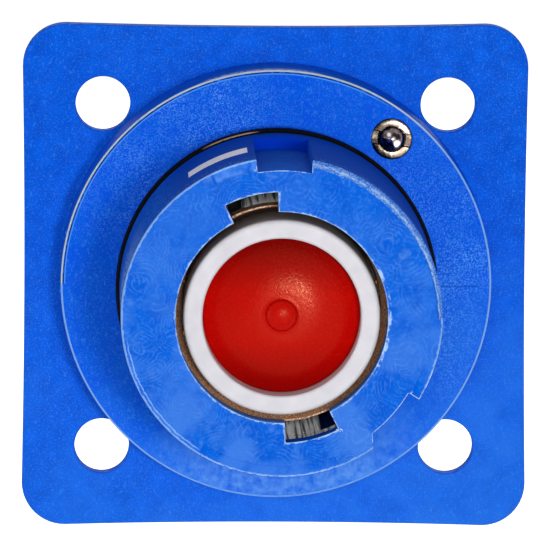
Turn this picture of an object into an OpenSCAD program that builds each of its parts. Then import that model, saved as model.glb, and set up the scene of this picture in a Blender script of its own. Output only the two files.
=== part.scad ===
// Single-pole panel inlet connector: square flange, keyed insulating nose,
// bayonet contact chamber, sprung touch guard and slotted ball plunger.
// The back face of the flange is y = 0, the nose points along -Y and +Z is up.
// Modules are drawn with the connector axis on +Z and turned by forward().

/* [Flange] */
// Width and height of the square flange
flange_w = 75; // [72:0.5:90]
// Thickness of the flange plate
flange_t = 3; // [2.5:0.1:6]
// Radius of the flange corners
corner_r = 6.4; // [2:0.1:9]
// Hollow of the top and bottom edges at mid length
edge_hollow = 0.45; // [0.1:0.05:1]
// Hollow of the left and right edges at mid length
side_hollow = 0.3; // [0.1:0.05:1]
// Diameter of the four screw holes
hole_d = 8.1; // [5:0.1:8.6]
// Gap between the screw holes and the round boss
hole_gap = 0.354; // [0.1:0.001:1]
// Land of the boss on both sides of the ball plunger
boss_land = 1.325; // [1:0.025:1.5]
// Height of the boss above the flange plate
boss_h = 10.4; // [8:0.1:16]
// Bevel on the front edge of the boss
boss_bevel = 0.35; // [0.1:0.05:1]
// Wall of the spigot that passes through the panel
spigot_wall = 3.45; // [2.5:0.05:4]
// How far the spigot reaches past the ring nut
spigot_end = 0.5; // [0:0.1:3]

/* [Panel seal] */
// Land between the spigot and the seal in the back of the flange
panel_seal_land = 0.8; // [0.4:0.1:1]
// Width of the panel seal
panel_seal_w = 1.6; // [1:0.1:1.8]
// Depth of the panel seal and of its groove
panel_seal_t = 1.4; // [0.8:0.1:2]

/* [Insulating nose] */
// Diameter of the nose
nose_d = 46.3; // [46:0.1:47.2]
// Reach of the nose in front of the boss
nose_reach = 38; // [36:0.1:50]
// Bevel round the front edge of the nose
nose_bevel = 0.35; // [0.1:0.05:0.8]
// Broad bevel on the right of the front edge
broad_bevel = 0.95; // [0.5:0.05:1.4]
// Thickness of the front lip
lip_t = 3.6; // [3:0.1:4]
// How far the opening in the lip stands back from that of the contact
lip_setback = 0.77; // [0.2:0.01:1]
// Depth of the two bayonet notches in the lip
notch_depth = 2.88; // [2:0.02:3]
// Start and end angle of the upper bayonet notch
notch_from = 92; // [88:0.5:96]
notch_to = 117; // [112:0.5:120]
// Wall of the nose behind the lip
nose_wall = 3.15; // [2.8:0.05:3.4]
// Depth of the two keyways
key_depth = 1.85; // [1:0.05:2.1]
// Length of the keyways from the front face
key_l = 27; // [15:0.5:30]
// Depth of the shallow rebates in the front rim
rebate_t = 0.4; // [0.1:0.05:0.8]
// Width of the rebates
rebate_w = 1.7; // [0.6:0.05:2.2]
// How far the collar behind the flange shoulder stands out from the nose
collar_stand = 2.35; // [1.8:0.05:2.8]
// Thickness of the collar
collar_t = 5; // [4:0.1:6]
// Wall of the tail, the rear end of the nose
tail_wall = 2.5; // [2:0.05:2.9]
// Length of the tail behind the ring nut
tail_l = 6; // [3.5:0.1:9]

/* [Nose seal] */
// Cord diameter of the ring round the nose
nose_seal_cord = 2.4; // [2:0.1:2.6]
// Height of the ring above the nose surface
nose_seal_stand = 0.5; // [0.2:0.05:0.8]
// Distance of the ring in front of the boss
nose_seal_gap = 4.8; // [3:0.1:6]

/* [Alignment mark] */
// Width of the painted stripe
mark_w = 6; // [3:0.1:8]
// Distance of the stripe behind the front face
mark_gap = 11.2; // [4:0.1:14]
// Start and end angle of the stripe
mark_from = 102; // [101:0.5:108]
mark_to = 126; // [115:0.5:130]
// Depth of the paint in its groove
mark_t = 0.2; // [0.1:0.05:0.4]

/* [Ring nut] */
// Thickness of the ring nut behind the collar
ring_nut_t = 5; // [4:0.1:5.2]
// Width of its four spanner slots
spanner_w = 4; // [2:0.1:6]
// Depth of the spanner slots
spanner_t = 1.8; // [1:0.1:2.5]
// Diameter of the pin that stops the nose from turning in the flange
index_pin_d = 2.5; // [1.5:0.1:3]

/* [Bayonet chamber] */
// Wall of the chamber rings
chamber_wall = 1.6; // [1.2:0.05:1.8]
// Length of the front ring
front_ring_l = 4.4; // [3:0.1:6]
// Thickness of the seal behind the front ring
chamber_seal_t = 1.2; // [0.8:0.1:2]
// Angle that each bayonet slot spans
slot_span = 8.5; // [5:0.5:12]
// Length of the bayonet slots
slot_l = 26; // [15:0.5:28]

/* [Contact] */
// Opening of the contact tube, which takes the mating pin
contact_bore_d = 29; // [28.8:0.05:29.3]
// Wall of the tube at its neck
neck_wall = 1.25; // [1.15:0.05:1.6]
// Wall of the contact tube behind its neck
contact_wall = 0.75; // [0.6:0.05:0.85]
// Distance of the contact rim behind the front face
rim_setback = 5.2; // [4.8:0.1:7]
// Length of the bronze lead-in ring
lead_in_l = 3.5; // [3:0.1:5]
// Depth of its lead-in bevel
lead_in_bevel = 2.5; // [1.5:0.1:2.8]
// Length of the neck of the tube
neck_l = 8.7; // [8.2:0.1:10]
// Length of the contact band in the neck
band_l = 5.5; // [4:0.1:6]
// Thickness of the band strip
band_t = 0.25; // [0.15:0.05:0.3]
// Depth of the band groove
band_depth = 0.55; // [0.5:0.05:0.65]
// How far the louvres stand into the opening
louvre_stand = 0.2; // [0.1:0.02:0.26]
// Number of louvres
louvre_count = 24; // [12:2:30]

/* [Contact base] */
// Thickness of the base in front of the panel face
base_front = 8; // [7:0.1:9]
// Thickness of the base behind the panel face
base_back = 10; // [9:0.1:10.4]
// Length of the neck that carries the tube
base_neck_l = 4; // [3:0.1:5]
// Radial gap round the guard spring in its seat in the base
seat_gap = 0.35; // [0.1:0.05:0.8]
// Depth of the spring seat
seat_l = 8; // [4:0.1:9]
// Diameter of the rear boss of the base
base_boss_d = 20; // [18:0.1:24]
// How far the rear boss stands out of the rear cover
base_boss_stand = 2; // [1:0.1:6]
// Cord diameter of the ring round the base
base_seal_cord = 2; // [1.6:0.1:2.4]
// Distance of that ring in front of the panel face
base_seal_s = 1.5; // [-2:0.1:2.4]
// Diameter of the two locating pins
locating_pin_d = 2.4; // [2:0.1:3]
// Length of the locating pins
locating_pin_l = 6; // [4:0.1:7]
// Thickness of the retaining ring
circlip_t = 1.5; // [1:0.1:1.8]
// Radial width of the retaining ring
circlip_w = 3.2; // [2.5:0.1:4]
// Depth of the retaining ring in its groove
circlip_bite = 0.9; // [0.5:0.05:1.1]

/* [Touch guard] */
// Radial gap between the guard ring and the opening of the contact
guard_gap = 0.35; // [0.1:0.05:0.6]
// Width of the front of the guard ring
guard_rim_w = 2.75; // [2:0.05:4]
// Rounding of the front edge of the guard ring
guard_round = 0.7; // [0.3:0.05:1]
// Travel of the guard
guard_travel = 18; // [10:0.5:18]
// Wall of the guard ring's skirt
skirt_wall = 2.92; // [2:0.02:3.2]
// Thickness of the web in the guard ring
web_t = 2; // [1.5:0.1:3]
// Depth of the edge of the red cap behind the guard front
cap_depth = 4.2; // [3:0.1:5]
// Thickness of the cap at its edge
cap_edge_t = 1.2; // [0.8:0.1:2]
// Rise of the cap from its edge to the nub
cap_rise = 1.7; // [0.5:0.1:2]
// Diameter of the nub
nub_d = 4.5; // [3:0.1:6]
// Height of the nub
nub_h = 1.1; // [0.5:0.1:1.5]
// Diameter of the cap shank through the web
shank_d = 8; // [6:0.1:10]
// Wire diameter of the guard spring
guard_wire = 1.5; // [1:0.1:1.6]
// Radial gap between the guard spring and the guard ring
guard_coil_gap = 1.05; // [0.3:0.05:1.4]
// Turns of the guard spring
guard_turns = 9; // [6:1:10]

/* [Rear cover] */
// Wall of the rear cover
cover_wall = 2.65; // [2:0.05:5]
// Room between the tail of the nose and the end wall of the cover
cover_room = 2.6; // [0.5:0.1:5]
// Thickness of its end wall
cover_end_t = 3.4; // [2:0.1:4]
// Number of grip grooves round the cover
grip_count = 12; // [6:1:24]
// Radius of the grip grooves
grip_r = 1.6; // [0.8:0.1:2]
// Gap between the cover and the spigot of the flange
cover_gap = 0.3; // [0.1:0.1:0.8]

/* [Terminal] */
// Diameter of the terminal stud
stud_d = 12; // [8:0.5:14]
// Length of the stud behind the nut
stud_free_l = 8.5; // [3:0.5:30]
// Depth of the stud in the base
stud_depth = 18; // [12:0.5:19]
// Bevel on the end of the stud
stud_bevel = 1.2; // [0.5:0.1:2]
// Pitch of the thread grooves on the free end of the stud
stud_pitch = 1.75; // [1.25:0.25:2.5]
// Depth of the thread grooves
stud_groove = 0.5; // [0.2:0.05:0.6]
// How far the crests of that thread lie inside the stud's full radius
crest_gap = 0.1; // [0.05:0.05:0.2]
// Diameter of the two flat washers
washer_d = 24; // [21:0.5:30]
// Thickness of each flat washer
washer_t = 2.5; // [1.5:0.1:3]
// Diameter of the spring washer
spring_washer_d = 20.6; // [18:0.1:24]
// Thickness of the spring washer
spring_washer_t = 2.5; // [1.5:0.1:3]
// Width of the split in the spring washer
spring_washer_split = 2; // [1:0.1:4]
// Width of the hexagon nut across its flats
nut_af = 18; // [16:0.5:24]
// Height of the nut
nut_h = 10; // [6:0.1:12]
// Bevel on the corners of the nut
nut_bevel = 1; // [0.5:0.1:1.5]

/* [Ball plunger] */
// Diameter of the slotted sleeve
plunger_d = 6; // [5:0.1:6.6]
// Length of the sleeve
plunger_l = 12; // [8:0.1:12]
// How far the sleeve stands in front of the boss
plunger_stand = 0.3; // [0:0.05:0.8]
// Angle of the plunger round the nose
plunger_angle = 52; // [50:0.5:54]
// Diameter of the ball
ball_d = 4; // [3:0.05:4.2]
// How far the ball stands in front of the sleeve
ball_stand = 1.05; // [0.6:0.05:1.1]
// Travel of the ball
ball_travel = 1; // [0.4:0.05:1]
// Thickness of the lip that holds the ball
ball_lip_t = 0.28; // [0.2:0.02:0.3]
// Opening of that lip
ball_lip_d = 3.8; // [2.8:0.05:3.86]
// Width of the driver slot
driver_w = 1.9; // [1:0.1:2]
// Depth of the driver slot
driver_t = 0.9; // [0.5:0.1:1.2]
// Turn of the driver slot from level
driver_turn = -6; // [-30:1:30]
// Bevel on the front edge of the sleeve
plunger_bevel = 0.35; // [0.1:0.05:0.5]
// Thickness of the sleeve's floor
plunger_floor_t = 1.2; // [0.8:0.1:2]
// Wire diameter of the plunger spring
plunger_wire = 0.45; // [0.3:0.05:0.5]
// Middle diameter of the plunger spring
plunger_coil_d = 2.7; // [2:0.1:3]
// Turns of the plunger spring
plunger_turns = 6; // [4:1:8]

/* [Fits] */
// Radial gap of parts that fit or screw together
fit_gap = 0.05; // [0.01:0.01:0.08]
// Radial gap of parts that slide
slide_gap = 0.08; // [0.03:0.01:0.1]
// Axial gap at a stop
stop_gap = 0.05; // [0.02:0.01:0.1]
// Axial gap at each side of a ring, a pin or a strip in its groove
groove_gap = 0.1; // [0.05:0.05:0.2]
// Axial gap between the two flat washers
washer_gap = 0.02; // [0.01:0.01:0.1]

/* [Hidden] */
$fn = 96;

// Small overrun of cuts, so that no face is shared
over = 0.5;

// Stations along the axis, counted forward from the panel face
nut_s = -collar_t - ring_nut_t;
spigot_s = nut_s - spigot_end;
tail_s = nut_s - tail_l;
cover_s = spigot_s - cover_gap;
cover_back_s = tail_s - cover_room - cover_end_t;
base_boss_s = cover_back_s - base_boss_stand;
boss_s = flange_t + boss_h;
front_s = boss_s + nose_reach;
lip_s = front_s - lip_t;
front_ring_s = lip_s - front_ring_l;
sleeve_s = front_ring_s - chamber_seal_t;
rim_s = front_s - rim_setback;
tube_s = rim_s - lead_in_l;
neck_s = tube_s - neck_l;
band_s = neck_s + (neck_l - band_l) / 2;
base_s = base_front;
base_neck_s = base_s + base_neck_l;
nose_seal_s = boss_s + nose_seal_gap;
key_s = front_s - key_l;
mark_s = front_s - mark_gap - mark_w;
circlip_s = -base_back - circlip_t;
web_s = front_s - cap_depth - cap_edge_t - web_t;
skirt_s = neck_s - stop_gap;
skirt_back_s = base_neck_s + guard_travel + 2 * stop_gap;
washer_s = base_boss_s - 2 * washer_t;
spring_washer_s = washer_s - spring_washer_t;
nut_back_s = spring_washer_s - nut_h;
stud_back_s = nut_back_s - stud_free_l;

// Radii of the nose and of what holds it
nose_r = nose_d / 2;
key_r = nose_r - key_depth;
rebate_r = nose_r - rebate_w;
chamber_r = nose_r - nose_wall;
tail_r = chamber_r + tail_wall;
collar_r = nose_r + collar_stand;
spigot_r = collar_r + fit_gap + spigot_wall;
boss_r = nose_r + 2 * boss_land + plunger_d;
panel_seal_in_r = spigot_r + panel_seal_land;
panel_seal_out_r = panel_seal_in_r + panel_seal_w;
cover_r = tail_r + fit_gap + cover_wall;

// Spacing of the four screw holes, both ways
hole_spacing = sqrt(2) * (boss_r + hole_gap + hole_d / 2);

// Radii of the contacts
chamber_ring_r = chamber_r - fit_gap;
chamber_clear_r = chamber_ring_r - chamber_wall;
contact_bore_r = contact_bore_d / 2;
contact_r = contact_bore_r + neck_wall;
tube_bore_r = contact_r - contact_wall;
lip_bore_r = contact_bore_r + lip_setback;
notch_r = lip_bore_r + notch_depth;
band_r = contact_bore_r + band_depth;
base_seal_r = chamber_ring_r - base_seal_cord / 2;
base_boss_r = base_boss_d / 2;
stud_r = stud_d / 2;

// Radii of the guard and its spring
guard_r = contact_bore_r - guard_gap;
guard_bore_r = guard_r - guard_rim_w;
skirt_r = tube_bore_r - slide_gap;
guard_hollow_r = skirt_r - skirt_wall;
guard_coil_d = 2 * (guard_hollow_r - guard_coil_gap) - guard_wire;
seat_r = (guard_coil_d + guard_wire) / 2 + seat_gap;

// The nose seal: middle radius of its cord, and its groove
nose_seal_r = nose_r + nose_seal_stand - nose_seal_cord / 2;
nose_groove_r = nose_seal_r - nose_seal_cord / 2;
nose_groove_w = nose_seal_cord + 2 * groove_gap;

// The plunger stands midway between the nose and the edge of the boss
plunger_r = plunger_d / 2;
plunger_at = (nose_r + boss_r) / 2;
plunger_s = boss_s + plunger_stand;
plunger_floor_s = plunger_s - plunger_l + plunger_floor_t;
ball_r = ball_d / 2;
ball_s = plunger_s + ball_stand - ball_r;
ball_bore_r = ball_r + slide_gap;

// Keyways: angles of their two sides at the floor and at the surface
keyways = [
    [78.3, 79.6, 99.4, 99.8],
    [-50.7, -56, -31, -30.7]
];
// Shallow rebates in the front rim, as start and end angles
rebates = [[100, 122], [-30.6, -18], [-121, -69]];
// The broad bevel runs between these angles
broad_bevel_from = -0.6;
broad_bevel_to = 79;

// Turns a part that is drawn along +Z so that it points along -Y
module forward() {
    rotate([90, 0, 0]) children();
}

// A disc from station s0 forward to station s1
module disc(r, s0, s1) {
    translate([0, 0, s0]) cylinder(r = r, h = s1 - s0);
}

// A plain ring between two radii and two stations
module ring(r_out, r_in, s0, s1) {
    difference() {
        disc(r_out, s0, s1);
        disc(r_in, s0 - over, s1 + over);
    }
}

// A piece of a ring between two angles
module ring_piece(r_in, r_out, a0, a1, s0, s1) {
    rotate([0, 0, a0]) rotate_extrude(angle = a1 - a0)
        translate([r_in, s0]) square([r_out - r_in, s1 - s0]);
}

// A round cord bent to a circle
module cord_ring(r, cord_d, s) {
    rotate_extrude() translate([r, s]) circle(d = cord_d, $fn = 32);
}

// Cuts a bevel round the outer front edge of a disc
module edge_bevel(r, w, s) {
    difference() {
        disc(r + 2 * over, s - w - over, s + over);
        translate([0, 0, s - w - over])
            cylinder(r1 = r + over, r2 = r - w - over, h = w + 2 * over);
    }
}

// A point at radius r and angle a
function polar(r, a) = [r * cos(a), r * sin(a)];

// Points of an arc, for profiles
function arc_points(cx, cy, r, a0, a1, n) =
    [for (i = [0:n]) [cx, cy] + polar(r, a0 + (a1 - a0) * i / n)];

// Points of one ring of a spring wire at angle a and height z
function wire_ring(coil_r, wire_r, a, z, sides) =
    [for (k = [0:sides - 1]) let (b = 360 * k / sides, r = coil_r + wire_r * cos(b))
        [r * cos(a), r * sin(a), z + wire_r * sin(b)]];

// Height of the wire along a spring whose end turns lie closed
function coil_height(t, turns, l, wire_d) =
    let (flat = wire_d * 1.02, rest = (l - wire_d - 2 * flat) / (turns - 2))
    t < 1 ? flat * t : t > turns - 1 ? l - wire_d - flat * (turns - t) : flat + rest * (t - 1);

// A compression spring standing on z = 0
module coil_spring(coil_d, wire_d, turns, l, steps, sides) {
    n = turns * steps;
    points = [for (i = [0:n]) let (t = i / steps)
        for (p = wire_ring(coil_d / 2, wire_d / 2, 360 * t,
            wire_d / 2 + coil_height(t, turns, l, wire_d), sides)) p];
    sleeve = [for (i = [0:n - 1], k = [0:sides - 1]) let (m = (k + 1) % sides)
        [i * sides + k, i * sides + m, (i + 1) * sides + m, (i + 1) * sides + k]];
    start = [[for (k = [0:sides - 1]) sides - 1 - k]];
    end = [[for (k = [0:sides - 1]) n * sides + k]];
    polyhedron(points = points, faces = concat(sleeve, start, end), convexity = 10);
}

// Outline of the flange plate with its slightly hollow edges
module flange_outline() {
    side = flange_w - 2 * corner_r;
    difference() {
        union() {
            square([flange_w, side], center = true);
            square([side, flange_w], center = true);
            for (x = [-1, 1], y = [-1, 1])
                translate([x * side / 2, y * side / 2]) circle(r = corner_r);
        }
        for (turn = [0, 180]) {
            rotate(turn) hollow_edge(side, edge_hollow);
            rotate(turn + 90) hollow_edge(side, side_hollow);
        }
    }
}

// A shallow circle segment that hollows the +Y edge
module hollow_edge(side, depth) {
    hollow_r = side * side / 8 / depth + depth / 2;
    translate([0, flange_w / 2 - depth + hollow_r]) circle(r = hollow_r, $fn = 1440);
}

module mounting_flange() {
    color("#0a58d8") forward() difference() {
        union() {
            linear_extrude(height = flange_t) flange_outline();
            disc(boss_r, 0, boss_s);
            disc(spigot_r, spigot_s, over);
        }
        disc(nose_r + fit_gap, -over, boss_s + over);
        disc(collar_r + fit_gap, spigot_s - over, 0);
        edge_bevel(boss_r, boss_bevel, boss_s);
        ring(panel_seal_out_r, panel_seal_in_r, -over, panel_seal_t);
        for (x = [-1, 1], y = [-1, 1])
            translate([x * hole_spacing / 2, y * hole_spacing / 2, 0])
                disc(hole_d / 2, -over, flange_t + over);
        plunger_place() disc(plunger_r + fit_gap, plunger_s - plunger_l, boss_s + over);
        index_pin_place() disc(index_pin_d / 2 + fit_gap, -collar_t, 0);
    }
}

module panel_seal() {
    color("#141414") forward() ring(panel_seal_out_r, panel_seal_in_r, 0, panel_seal_t);
}

// One keyway cut: straight sides and a round floor
module keyway(angles) {
    in_r = key_r - over;
    out_r = nose_r + over;
    middle = (angles[1] + angles[3]) / 2;
    points = [
        polar(in_r, angles[0]), polar(out_r, angles[1]), polar(out_r + 2 * over, middle),
        polar(out_r, angles[3]), polar(in_r, angles[2])
    ];
    difference() {
        translate([0, 0, key_s]) linear_extrude(height = key_l + over) polygon(points);
        disc(key_r, key_s - over, front_s + 2 * over);
    }
}

module nose_insulator() {
    color("#1a66dd") forward() difference() {
        union() {
            disc(nose_r, -over, front_s);
            disc(collar_r, -collar_t, -stop_gap);
            disc(tail_r, tail_s, 0);
        }
        disc(chamber_r, tail_s - over, lip_s);
        disc(lip_bore_r, lip_s - over, front_s + over);
        for (turn = [0, 180]) rotate([0, 0, turn])
            ring_piece(lip_bore_r - over, notch_r, notch_from, notch_to, lip_s - over, front_s + over);
        for (angles = keyways) keyway(angles);
        for (span = rebates)
            ring_piece(rebate_r, nose_r + over, span[0], span[1], front_s - rebate_t, front_s + over);
        edge_bevel(nose_r, nose_bevel, front_s);
        rotate([0, 0, broad_bevel_from]) rotate_extrude(angle = broad_bevel_to - broad_bevel_from)
            polygon([
                [nose_r - broad_bevel - over, front_s + over],
                [nose_r + over, front_s - broad_bevel - over],
                [nose_r + over, front_s + over]
            ]);
        ring(nose_r + over, nose_groove_r,
            nose_seal_s - nose_groove_w / 2, nose_seal_s + nose_groove_w / 2);
        ring_piece(nose_r - mark_t, nose_r + over, mark_from, mark_to, mark_s, mark_s + mark_w);
        disc(chamber_r + circlip_bite, circlip_s - groove_gap, -base_back);
        locating_pin_places()
            disc(locating_pin_d / 2 + fit_gap, -base_back - over, -base_back + locating_pin_l);
        index_pin_place() disc(index_pin_d / 2 + fit_gap, -collar_t - over, 0);
    }
}

module nose_seal() {
    color("#0b0b0d") forward() cord_ring(nose_seal_r, nose_seal_cord, nose_seal_s);
}

module alignment_mark() {
    color("#e8e8ee") forward()
        ring_piece(nose_r - mark_t, nose_r, mark_from, mark_to, mark_s, mark_s + mark_w);
}

module ring_nut() {
    color("#2b2f36") forward() difference() {
        ring(collar_r, tail_r + fit_gap, nut_s, -collar_t);
        for (turn = [0, 90]) rotate([0, 0, turn])
            translate([-collar_r - over, -spanner_w / 2, nut_s - over])
                cube([2 * collar_r + 2 * over, spanner_w, spanner_t + over]);
    }
}

// The index pin sits half in the collar and half in the flange
module index_pin_place() {
    translate([0, collar_r, 0]) children();
}

module index_pin() {
    color("#b9bcc0") forward() index_pin_place()
        disc(index_pin_d / 2, -collar_t + groove_gap, -groove_gap);
}

module front_chamber_ring() {
    color("#cfd0d2") forward() ring(chamber_ring_r, chamber_clear_r, front_ring_s, lip_s);
}

module chamber_seal() {
    setback = 0.25;
    color("#101012") forward() ring(chamber_ring_r, chamber_clear_r + setback, sleeve_s, front_ring_s);
}

module bayonet_sleeve() {
    color("#cfd0d2") forward() difference() {
        ring(chamber_ring_r, chamber_clear_r, base_s, sleeve_s);
        for (turn = [0, 180]) rotate([0, 0, turn])
            ring_piece(chamber_clear_r - over, chamber_r + over, notch_to - slot_span, notch_to,
                sleeve_s - slot_l, sleeve_s + over);
    }
}

module contact_tube() {
    color("#d4d4d4") forward() difference() {
        disc(contact_r, base_s, tube_s);
        disc(contact_bore_r, neck_s - over, tube_s + over);
        disc(tube_bore_r, base_s - over, neck_s);
        disc(band_r, band_s, band_s + band_l);
    }
}

module lead_in_ring() {
    bevel_s = rim_s - lead_in_bevel;
    rim_land = 0.25;
    color("#9a6a45") forward() difference() {
        disc(contact_r, tube_s, rim_s);
        disc(contact_bore_r, tube_s - over, rim_s + over);
        translate([0, 0, bevel_s])
            cylinder(r1 = contact_bore_r, r2 = contact_r - rim_land, h = lead_in_bevel);
        disc(contact_r - rim_land, rim_s, rim_s + over);
    }
}

module contact_band() {
    strip_r = band_r - fit_gap;
    louvre_w = 1.3;
    louvre_t = band_depth + louvre_stand - fit_gap - band_t / 2;
    end_w = 0.7;
    color("#c9a24a") forward() {
        ring(strip_r, strip_r - band_t, band_s + groove_gap, band_s + band_l - groove_gap);
        for (i = [0:louvre_count - 1])
            rotate([0, 0, 360 * i / louvre_count])
                translate([contact_bore_r - louvre_stand, -louvre_w / 2, band_s + end_w])
                    cube([louvre_t, louvre_w, band_l - 2 * end_w]);
    }
}

module contact_base() {
    groove_half = base_seal_cord / 2 + groove_gap;
    color("#c8c8c6") forward() difference() {
        union() {
            disc(chamber_ring_r, -base_back, base_s);
            disc(tube_bore_r - fit_gap, base_s - over, base_neck_s);
            disc(base_boss_r, base_boss_s, 0);
        }
        disc(seat_r, base_neck_s - seat_l, base_neck_s + over);
        disc(stud_r + fit_gap, base_boss_s - over, base_boss_s + stud_depth);
        ring(chamber_r + over, base_seal_r - base_seal_cord / 2,
            base_seal_s - groove_half, base_seal_s + groove_half);
        locating_pin_places()
            disc(locating_pin_d / 2 + fit_gap, -base_back - over, -base_back + locating_pin_l);
    }
}

module base_seal() {
    color("#141414") forward() cord_ring(base_seal_r, base_seal_cord, base_seal_s);
}

// The locating pins sit half in the base and half in the insulator
module locating_pin_places() {
    for (turn = [0, 180]) rotate([0, 0, turn]) translate([chamber_r, 0, 0]) children();
}

module locating_pins() {
    color("#b9bcc0") forward() locating_pin_places()
        disc(locating_pin_d / 2, -base_back, -base_back + locating_pin_l - groove_gap);
}

module retaining_ring() {
    ear_r = 2;
    ear_hole_r = 0.9;
    ear_turn = 9;
    split_turn = 3;
    ring_r = chamber_r + circlip_bite - fit_gap;
    ear_at = ring_r - circlip_w;
    color("#3a3d42") forward() rotate([0, 0, -90]) difference() {
        union() {
            ring(ring_r, ear_at, circlip_s, -base_back);
            for (side = [-1, 1]) rotate([0, 0, side * ear_turn]) translate([ear_at, 0, 0])
                disc(ear_r, circlip_s, -base_back);
        }
        ring_piece(ear_at - ear_r - over, ring_r + over, -split_turn, split_turn,
            circlip_s - over, -base_back + over);
        for (side = [-1, 1]) rotate([0, 0, side * ear_turn]) translate([ear_at, 0, 0])
            disc(ear_hole_r, circlip_s - over, -base_back + over);
    }
}

module guard_ring() {
    round_in = guard_round / 2;
    web_front_s = web_s + web_t;
    profile = concat(
        [[shank_d / 2 + fit_gap, web_s], [shank_d / 2 + fit_gap, web_front_s],
            [guard_bore_r, web_front_s]],
        arc_points(guard_bore_r + round_in, front_s - round_in, round_in, 180, 90, 4),
        arc_points(guard_r - guard_round, front_s - guard_round, guard_round, 90, 0, 5),
        [[guard_r, skirt_s], [skirt_r, skirt_s], [skirt_r, skirt_back_s],
            [guard_hollow_r, skirt_back_s], [guard_hollow_r, web_s]]
    );
    color("#dcdce2") forward() rotate_extrude() polygon(profile);
}

module guard_cap() {
    edge_r = guard_bore_r - fit_gap;
    seat_s = web_s + web_t;
    edge_s = seat_s + cap_edge_t;
    nub_r = nub_d / 2;
    shank_r = shank_d / 2;
    dome_steps = 8;
    hook_stand = 0.5;
    hook_l = 1.6;
    hook_lead = 1;
    dome = [for (i = [0:dome_steps]) let (u = i / dome_steps)
        [edge_r + (nub_r - edge_r) * u, edge_s + cap_rise * sin(90 * u)]];
    nub = [for (a = [0:15:90]) [nub_r * cos(a), edge_s + cap_rise + nub_h * sin(a)]];
    profile = concat(
        [[0, web_s - hook_l], [shank_r - hook_stand, web_s - hook_l],
            [shank_r + hook_stand, web_s - hook_l + hook_lead], [shank_r + hook_stand, web_s],
            [shank_r, web_s], [shank_r, seat_s], [edge_r, seat_s]],
        dome, nub
    );
    color("#c00808") forward() rotate_extrude() polygon(profile);
}

module guard_spring() {
    floor_s = base_neck_s - seat_l;
    color("#9a9da1") forward() translate([0, 0, floor_s])
        coil_spring(guard_coil_d, guard_wire, guard_turns, web_s - floor_s - stop_gap, 20, 6);
}

module rear_cover() {
    cover_bevel = 0.8;
    end_s = cover_back_s + cover_end_t;
    rest_w = 0.5;
    grip_land = 2;
    color("#17181b") forward() difference() {
        disc(cover_r, cover_back_s, cover_s);
        disc(tail_r + fit_gap, tail_s, cover_s + over);
        disc(chamber_r - rest_w, end_s, tail_s + over);
        disc(base_boss_r + fit_gap, cover_back_s - over, end_s + over);
        for (i = [0:grip_count - 1])
            rotate([0, 0, 360 * (i + 0.5) / grip_count]) translate([cover_r + grip_r / 2, 0, 0])
                disc(grip_r, cover_back_s - over, cover_s - grip_land);
        rotate([180, 0, 0]) edge_bevel(cover_r, cover_bevel, -cover_back_s);
    }
}

module terminal_stud() {
    thread_gap = 0.5;
    end_gap = 0.2;
    thread_s = nut_back_s - thread_gap;
    crest_r = stud_r - crest_gap;
    groove_n = floor((thread_s - stud_back_s - stud_bevel) / stud_pitch);
    color("#b8bbc0") forward() difference() {
        union() {
            disc(stud_r, thread_s, base_boss_s + stud_depth - end_gap);
            disc(crest_r, stud_back_s, thread_s);
        }
        rotate([180, 0, 0]) edge_bevel(crest_r, stud_bevel, -stud_back_s);
        for (i = [0:groove_n - 1])
            rotate_extrude() translate([crest_r, thread_s - (i + 0.5) * stud_pitch])
                polygon([[-stud_groove, 0], [over, stud_groove + over], [over, -stud_groove - over]]);
    }
}

module flat_washers() {
    play = 0.5;
    color("#c3c5c8") forward() for (i = [0, 1])
        translate([0, 0, washer_s + i * washer_t])
            ring(washer_d / 2, stud_r + play, 0, washer_t - washer_gap);
}

module spring_washer() {
    play = 0.1;
    split_turn = 30;
    color("#a9acb0") forward() difference() {
        ring(spring_washer_d / 2, stud_r + play, spring_washer_s, washer_s);
        rotate([0, 0, split_turn]) translate([0, -spring_washer_split / 2, spring_washer_s - over])
            cube([spring_washer_d, spring_washer_split, spring_washer_t + 2 * over]);
    }
}

module terminal_nut() {
    corner_at = nut_af / sqrt(3);
    face_r = nut_af / 2 - nut_bevel / 4;
    color("#c3c5c8") forward() difference() {
        intersection() {
            translate([0, 0, nut_back_s]) cylinder(r = corner_at, h = nut_h, $fn = 6);
            rotate_extrude() polygon([
                [0, nut_back_s], [face_r, nut_back_s], [corner_at + over, nut_back_s + nut_bevel],
                [corner_at + over, spring_washer_s - nut_bevel], [face_r, spring_washer_s],
                [0, spring_washer_s]
            ]);
        }
        disc(stud_r + fit_gap, nut_back_s - over, spring_washer_s + over);
    }
}

// Moves a part from the connector axis to the axis of the plunger
module plunger_place() {
    translate([plunger_at * cos(plunger_angle), plunger_at * sin(plunger_angle), 0]) children();
}

module plunger_sleeve() {
    color("#d0d0d4") forward() plunger_place() difference() {
        disc(plunger_r, plunger_s - plunger_l, plunger_s);
        disc(ball_bore_r, plunger_floor_s, plunger_s - ball_lip_t);
        disc(ball_lip_d / 2, plunger_floor_s, plunger_s + over);
        edge_bevel(plunger_r, plunger_bevel, plunger_s);
        rotate([0, 0, driver_turn]) translate([-plunger_d, -driver_w / 2, plunger_s - driver_t])
            cube([2 * plunger_d, driver_w, driver_t + over]);
    }
}

module plunger_ball() {
    color("#e2e2e6") forward() plunger_place() translate([0, 0, ball_s]) sphere(r = ball_r);
}

module plunger_spring() {
    spring_l = ball_s - ball_r - plunger_floor_s - stop_gap;
    color("#9a9da1") forward() plunger_place() translate([0, 0, plunger_floor_s])
        coil_spring(plunger_coil_d, plunger_wire, plunger_turns, spring_l, 14, 6);
}

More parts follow.
